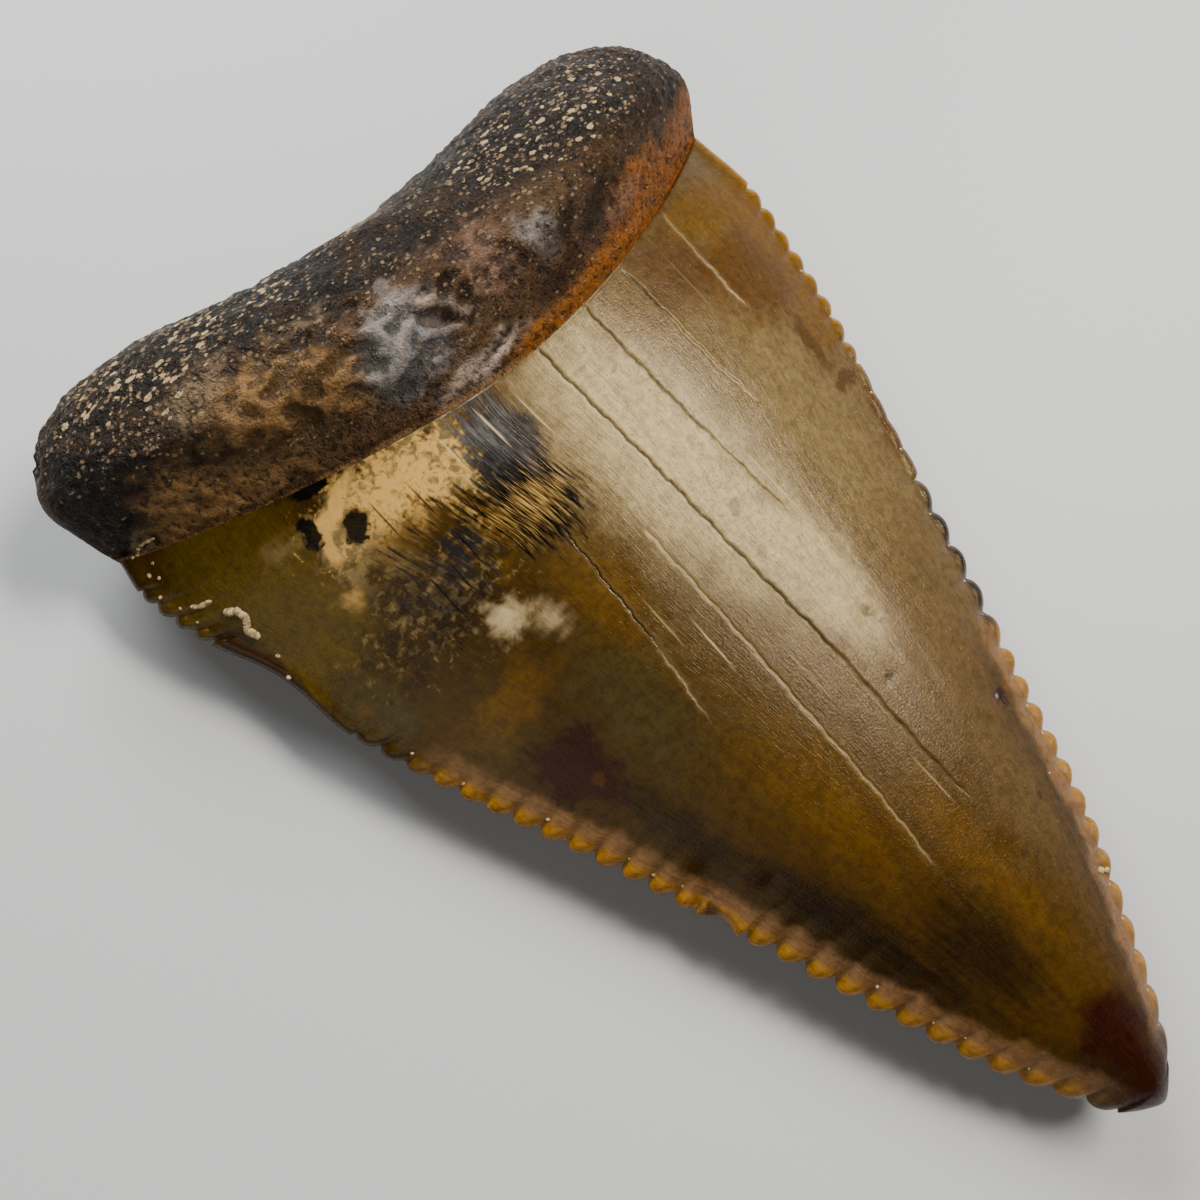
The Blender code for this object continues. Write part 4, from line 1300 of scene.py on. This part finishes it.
def floor_material(colour):
    material, tree, shader = new_material("pale_floor")
    coordinates = add_node(tree, "ShaderNodeTexCoord").outputs["Object"]
    tone = cloud(tree, coordinates, 14.0, 3.0, 0.5)
    dim = tuple(part * 0.975 for part in colour)
    mixed = blend(tree, tone, (*colour, 1.0), (*dim, 1.0))
    tree.links.new(mixed, shader.inputs["Base Color"])
    shader.inputs["Roughness"].default_value = 0.55
    return material


# Chalk crumbs: worm-like deposits as a path with a size, and spots as x, y and a size. The seeds
# start from a height over the tooth, in metres, and drop onto it
CHALK_WORMS = [
    ([(-15.9, -5.2), (-15.55, -5.5), (-15.5, -6.0), (-15.75, -6.35), (-15.6, -6.75)], 0.21),
    ([(-16.9, -3.9), (-16.6, -4.15), (-16.2, -4.3)], 0.13),
    ([(-17.5, -0.35), (-16.9, -0.25), (-16.3, -0.45)], 0.11),
]
CHALK_SPOTS = [
    (-15.5, -8.0, 0.12), (-15.75, -9.0, 0.13), (-17.45, -1.5, 0.12), (-17.2, -1.9, 0.10),
    (-17.0, -1.2, 0.09), (5.6, -39.5, 0.20), (5.9, -39.75, 0.15), (6.9, -34.9, 0.08),
]
CHALK_STEP = 0.11
WORM_POINT_SPACING = 0.45
NOTCHES_WITH_CHALK = 0.55
NOTCH_CHALK_SIZE = 0.10
NOTCH_CHALK_INSET = 0.22
CHALK_FLATNESS = 0.55
SEED_HEIGHT = 0.02


def notch_heights(side):
    """Height of every notch between two lobes."""
    rows = []
    for start, end, lobes, _, _ in LEFT_SERRATIONS if side < 0 else RIGHT_SERRATIONS:
        rows += [mix(start, end, lobe / lobes) for lobe in range(1, lobes)]
    return rows


def chalk_seeds(rng):
    """Places on the tooth's surface for the crumbs, with a size for each."""
    wanted = list(CHALK_SPOTS)
    for path, size in CHALK_WORMS:
        steps = max(int(len(path) * WORM_POINT_SPACING / CHALK_STEP), 2)
        for part in np.linspace(0.0, 1.0, steps):
            x, y = outline_point(path, np.array([part]))
            wanted.append((float(x[0]), float(y[0]), size * rng.uniform(0.8, 1.1)))
    for side in (-1, 1):
        for y in notch_heights(side):
            if rng.random() < NOTCHES_WITH_CHALK:
                height = np.array([y])
                cut = serration(side, height)[0] + NOTCH_CHALK_INSET * rng.uniform(0.6, 1.8)
                x = float((plain_edge(side, height) - side * cut)[0])
                wanted.append((x, y, NOTCH_CHALK_SIZE * rng.uniform(0.5, 1.1)))
    origin = row_origin()
    seeds = [(x * MM + origin.x, y * MM + origin.y, SEED_HEIGHT) for x, y, _ in wanted]
    return seeds, [size for _, _, size in wanted]


def drop_onto(item, seeds):
    """Each seed's place where it lands on a piece from above, or else the nearest place on it."""
    places = []
    for seed in seeds:
        hit, place, _, _ = item.ray_cast(Vector(seed), Vector((0.0, 0.0, -1.0)))
        if not hit:
            beside = Vector((seed[0], seed[1], EDGE_HEIGHT * MM))
            place = item.closest_point_on_mesh(beside)[1]
        places.append(place)
    return places


def crumb_tree():
    """Geometry Nodes: a rough crumb on every seed point, sized by the seed's own size."""
    tree = bpy.data.node_groups.new("chalk_crumbs", "GeometryNodeTree")
    face = tree.interface
    face.new_socket("Seeds", in_out="INPUT", socket_type="NodeSocketGeometry")
    size = face.new_socket("Crumb size", in_out="INPUT", socket_type="NodeSocketFloat")
    size.default_value = 1.0
    flat = face.new_socket("Flatness", in_out="INPUT", socket_type="NodeSocketFloat")
    flat.default_value = 0.6
    face.new_socket("Seed", in_out="INPUT", socket_type="NodeSocketInt")
    face.new_socket("Crumbs", in_out="OUTPUT", socket_type="NodeSocketGeometry")
    given = add_node(tree, "NodeGroupInput")
    ball = add_node(tree, "GeometryNodeMeshIcoSphere", {"Radius": MM, "Subdivisions": 2})
    lump = add_node(tree, "ShaderNodeTexNoise", {"Scale": 0.9 / MM, "Detail": 2.0})
    shift = add_node(tree, "ShaderNodeVectorMath", {0: lump.outputs[1], 1: (0.5, 0.5, 0.5)},
                     operation="SUBTRACT")
    push = add_node(tree, "ShaderNodeVectorMath", {0: shift.outputs[0], 3: 0.9 * MM},
                    operation="SCALE")
    rough = add_node(tree, "GeometryNodeSetPosition",
                     {"Geometry": ball.outputs["Mesh"], "Offset": push.outputs[0]})
    own = add_node(tree, "GeometryNodeInputNamedAttribute", {"Name": "size"}, data_type="FLOAT")
    wide = add_node(tree, "ShaderNodeMath", {0: own.outputs[0], 1: given.outputs["Crumb size"]},
                    operation="MULTIPLY")
    tall = add_node(tree, "ShaderNodeMath", {0: wide.outputs[0], 1: given.outputs["Flatness"]},
                    operation="MULTIPLY")
    scale = add_node(tree, "ShaderNodeCombineXYZ",
                     {0: wide.outputs[0], 1: wide.outputs[0], 2: tall.outputs[0]})
    turn = add_node(tree, "FunctionNodeRandomValue",
                    {1: (6.3, 6.3, 6.3), "Seed": given.outputs["Seed"]}, data_type="FLOAT_VECTOR")
    spin = add_node(tree, "ShaderNodeVectorMath", {0: turn.outputs[0], 1: (0.05, 0.05, 1.0)},
                    operation="MULTIPLY")
    crumbs = add_node(tree, "GeometryNodeInstanceOnPoints", {
        "Points": given.outputs["Seeds"], "Instance": rough.outputs[0],
        "Rotation": spin.outputs[0], "Scale": scale.outputs[0]})
    real = add_node(tree, "GeometryNodeRealizeInstances", {"Geometry": crumbs.outputs[0]})
    soft = add_node(tree, "GeometryNodeSetShadeSmooth", {"Geometry": real.outputs[0]})
    dress = add_node(tree, "GeometryNodeSetMaterial",
                     {"Geometry": soft.outputs[0], "Material": bpy.data.materials["chalk"]})
    add_node(tree, "NodeGroupOutput", {"Crumbs": dress.outputs[0]})
    return tree


def modifier_input(modifier, tree, name, value):
    for item in tree.interface.items_tree:
        if item.item_type == "SOCKET" and item.in_out == "INPUT" and item.name == name:
            modifier[item.identifier] = value
            return
    raise RuntimeError("no input named " + name)


def evaluated_mesh(item):
    graph = bpy.context.evaluated_depsgraph_get()
    return bpy.data.meshes.new_from_object(item.evaluated_get(graph), depsgraph=graph)


class TOOTH_OT_tooth(bpy.types.Operator):
    """Build the tooth: serrated crown, cracks, root folds and both faces in one closed mesh"""

    bl_idname = "fossil.tooth"
    bl_label = "Tooth"

    def execute(self, context):
        settings = context.scene.fossil
        data = tooth_data(settings.sizes, settings.colours)
        data.materials.append(enamel_material(settings.colours))
        data.materials.append(root_material(settings.colours))
        tooth = new_object("fossil_tooth", data)
        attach(tooth, "root")
        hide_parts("tooth")
        return {"FINISHED"}


class TOOTH_OT_chalk(bpy.types.Operator):
    """Set the chalk crumbs in the notches and along the left edge"""

    bl_idname = "fossil.chalk"
    bl_label = "Chalk crumbs"

    def execute(self, context):
        settings = context.scene.fossil
        tooth = bpy.data.objects["fossil_tooth"]
        chalk_material(settings.colours)
        rng = np.random.default_rng(settings.sizes.chalk_seed)
        seeds, sizes = chalk_seeds(rng)
        data = bpy.data.meshes.new("chalk_seeds")
        data.from_pydata(drop_onto(tooth, seeds), [], [])
        add_marking(data, "size", sizes)
        chalk = new_object("chalk_crumbs", data)
        tree = crumb_tree()
        modifier = chalk.modifiers.new("crumbs", "NODES")
        modifier.node_group = tree
        modifier_input(modifier, tree, "Crumb size", settings.sizes.crumb_size)
        modifier_input(modifier, tree, "Flatness", CHALK_FLATNESS)
        modifier_input(modifier, tree, "Seed", settings.sizes.chalk_seed)
        crumbs = evaluated_mesh(chalk)
        chalk.modifiers.clear()
        chalk.data = crumbs
        crumbs.name = "chalk_crumbs"
        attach(chalk, "root")
        return {"FINISHED"}


# Camera in the tooth's millimetre frame, its height over the cutting edges
CAMERA_PLACE = Vector((-14.6643, -21.1703, 46.9256))
CAMERA_RIGHT = Vector((0.73610102, -0.66929874, 0.10096776))
CAMERA_UP = Vector((0.63246521, 0.73325312, 0.249655))
CAMERA_FORWARD = Vector((0.2411287, 0.11991271, -0.96305654))
SENSOR_WIDTH = 36.0
IMAGE_WIDTH = 1200.0
FOCAL_PIXELS = 1050.0

# Soft lights: name, direction from the tooth, distance, two sides in metres, colour
LIGHT_TARGET = Vector((0.0, -18.0, 2.0))
LIGHTS = [
    ("key", (0.62, -0.05, 0.78), 0.30, (0.15, 0.07), (1.0, 0.97, 0.93)),
    ("back", (0.2, 0.85, 0.5), 0.35, (0.25, 0.10), (0.93, 0.96, 1.0)),
    ("fill", (-0.8, -0.2, 0.6), 0.40, (0.30, 0.30), (1.0, 0.98, 0.95)),
]


def to_frame(place):
    """A place in the tooth's millimetre frame, height over the edges, in the frame's metres."""
    return row_origin() + (place + Vector((0.0, 0.0, EDGE_HEIGHT))) * MM


def add_camera():
    data = bpy.data.cameras.new("camera")
    data.sensor_width = SENSOR_WIDTH
    data.lens = SENSOR_WIDTH * FOCAL_PIXELS / IMAGE_WIDTH
    data.clip_start = 0.001
    camera = new_object("camera", data)
    turn = Matrix((CAMERA_RIGHT, CAMERA_UP, -CAMERA_FORWARD)).transposed()
    camera.matrix_world = Matrix.Translation(to_frame(CAMERA_PLACE)) @ turn.to_4x4()
    bpy.context.scene.camera = camera


def add_light(name, direction, distance, size, colour, power):
    """A soft square light that looks at the middle of the tooth."""
    data = bpy.data.lights.new(name, "AREA")
    data.shape = "RECTANGLE"
    data.size, data.size_y = size
    data.energy = power
    data.color = colour
    light = new_object(name, data)
    target = to_frame(LIGHT_TARGET)
    way = Vector(direction).normalized()
    turn = way.to_track_quat("Z", "Y").to_matrix().to_4x4()
    light.matrix_world = Matrix.Translation(target + way * distance) @ turn


class TOOTH_OT_stage(bpy.types.Operator):
    """Set the pale floor, the soft lights and the camera"""

    bl_idname = "fossil.stage"
    bl_label = "Stage"

    def execute(self, context):
        settings = context.scene.fossil.stage
        half = settings.floor_size / 2.0
        corners = [(-half, -half, 0.0), (half, -half, 0.0), (half, half, 0.0), (-half, half, 0.0)]
        data = bpy.data.meshes.new("floor")
        data.from_pydata(corners, [], [(0, 1, 2, 3)])
        data.materials.append(floor_material(settings.floor_colour))
        floor = new_object("floor", data)
        world = bpy.data.worlds.new("soft_room")
        world.use_nodes = True
        background = world.node_tree.nodes["Background"]
        background.inputs[0].default_value = (*settings.room_colour, 1.0)
        background.inputs[1].default_value = settings.room_light
        context.scene.world = world
        for light in LIGHTS:
            add_light(*light, getattr(settings, light[0] + "_light"))
        add_camera()
        return {"FINISHED"}


class ToothSizes(bpy.types.PropertyGroup):
    edge_radius: FloatProperty(
        name="Edge radius", description="Rounding of the cutting edges, in millimetres",
        default=0.16, min=0.05, max=0.3)
    lobe_height: FloatProperty(
        name="Lobe height", description="Swelling of each serration lobe, in millimetres",
        default=0.11, min=0.0, max=0.3)
    notch_depth: FloatProperty(
        name="Notch valley", description="Depth of the valley inside each notch, in millimetres",
        default=0.22, min=0.0, max=0.5)
    wrinkle_height: FloatProperty(
        name="Wrinkle height", description="Height of the root's folds, in millimetres",
        default=0.80, min=0.0, max=1.0)
    pore_height: FloatProperty(
        name="Pore height", description="Height of the root's porous grain, in millimetres",
        default=0.08, min=0.0, max=0.2)
    lump_height: FloatProperty(
        name="Lump height", description="Height of the root's broad lumps, in millimetres",
        default=0.14, min=0.0, max=0.5)
    crumb_size: FloatProperty(
        name="Crumb size", description="Size of the chalk crumbs against their usual size",
        default=1.0, min=0.1, max=3.0, subtype="FACTOR")
    chalk_seed: IntProperty(
        name="Chalk seed", description="Which notches hold chalk", default=7, min=0)


class StageSettings(bpy.types.PropertyGroup):
    floor_size: FloatProperty(
        name="Floor size", description="Side of the square floor", default=1.2, unit="LENGTH")
    floor_colour: FloatVectorProperty(
        name="Floor colour", description="Colour of the floor", subtype="COLOR",
        default=(0.52, 0.515, 0.505), min=0.0, max=1.0)
    room_colour: FloatVectorProperty(
        name="Room colour", description="Colour of the room's light", subtype="COLOR",
        default=(0.80, 0.86, 0.92), min=0.0, max=1.0)
    room_light: FloatProperty(
        name="Room light", description="Strength of the room's light", default=0.07, min=0.0)
    key_light: FloatProperty(
        name="Key light", description="Power of the main light", default=1.35, unit="POWER")
    back_light: FloatProperty(
        name="Back light", description="Power of the light behind the root", default=2.0,
        unit="POWER")
    fill_light: FloatProperty(
        name="Fill light", description="Power of the light on the shaded side", default=0.35,
        unit="POWER")


class FossilSettings(bpy.types.PropertyGroup):
    sizes: PointerProperty(type=ToothSizes)
    colours: PointerProperty(type=ToothColours)
    stage: PointerProperty(type=StageSettings)


class TOOTH_PT_panel(bpy.types.Panel):
    """Sidebar panel that lists the pieces and their settings"""

    bl_idname = "TOOTH_PT_panel"
    bl_label = "Fossil shark tooth"
    bl_space_type = "VIEW_3D"
    bl_region_type = "UI"
    bl_category = "Fossil"

    def draw(self, context):
        settings = context.scene.fossil
        for operator in PIECES:
            self.layout.operator(operator.bl_idname)
        for group in (settings.sizes, settings.colours, settings.stage):
            box = self.layout.box()
            for name in group.bl_rna.properties.keys():
                if name not in ("rna_type", "name"):
                    box.prop(group, name)


PIECES = (TOOTH_OT_tooth, TOOTH_OT_chalk, TOOTH_OT_stage)
CLASSES = (ToothSizes, ToothColours, StageSettings, FossilSettings, *PIECES, TOOTH_PT_panel)


def register():
    for item in CLASSES:
        bpy.utils.register_class(item)
    bpy.types.Scene.fossil = PointerProperty(type=FossilSettings)


def unregister():
    del bpy.types.Scene.fossil
    for item in reversed(CLASSES):
        bpy.utils.unregister_class(item)


def main():
    register()
    bpy.ops.fossil.tooth()
    bpy.ops.fossil.chalk()
    bpy.ops.fossil.stage()


if __name__ == "__main__":
    main()
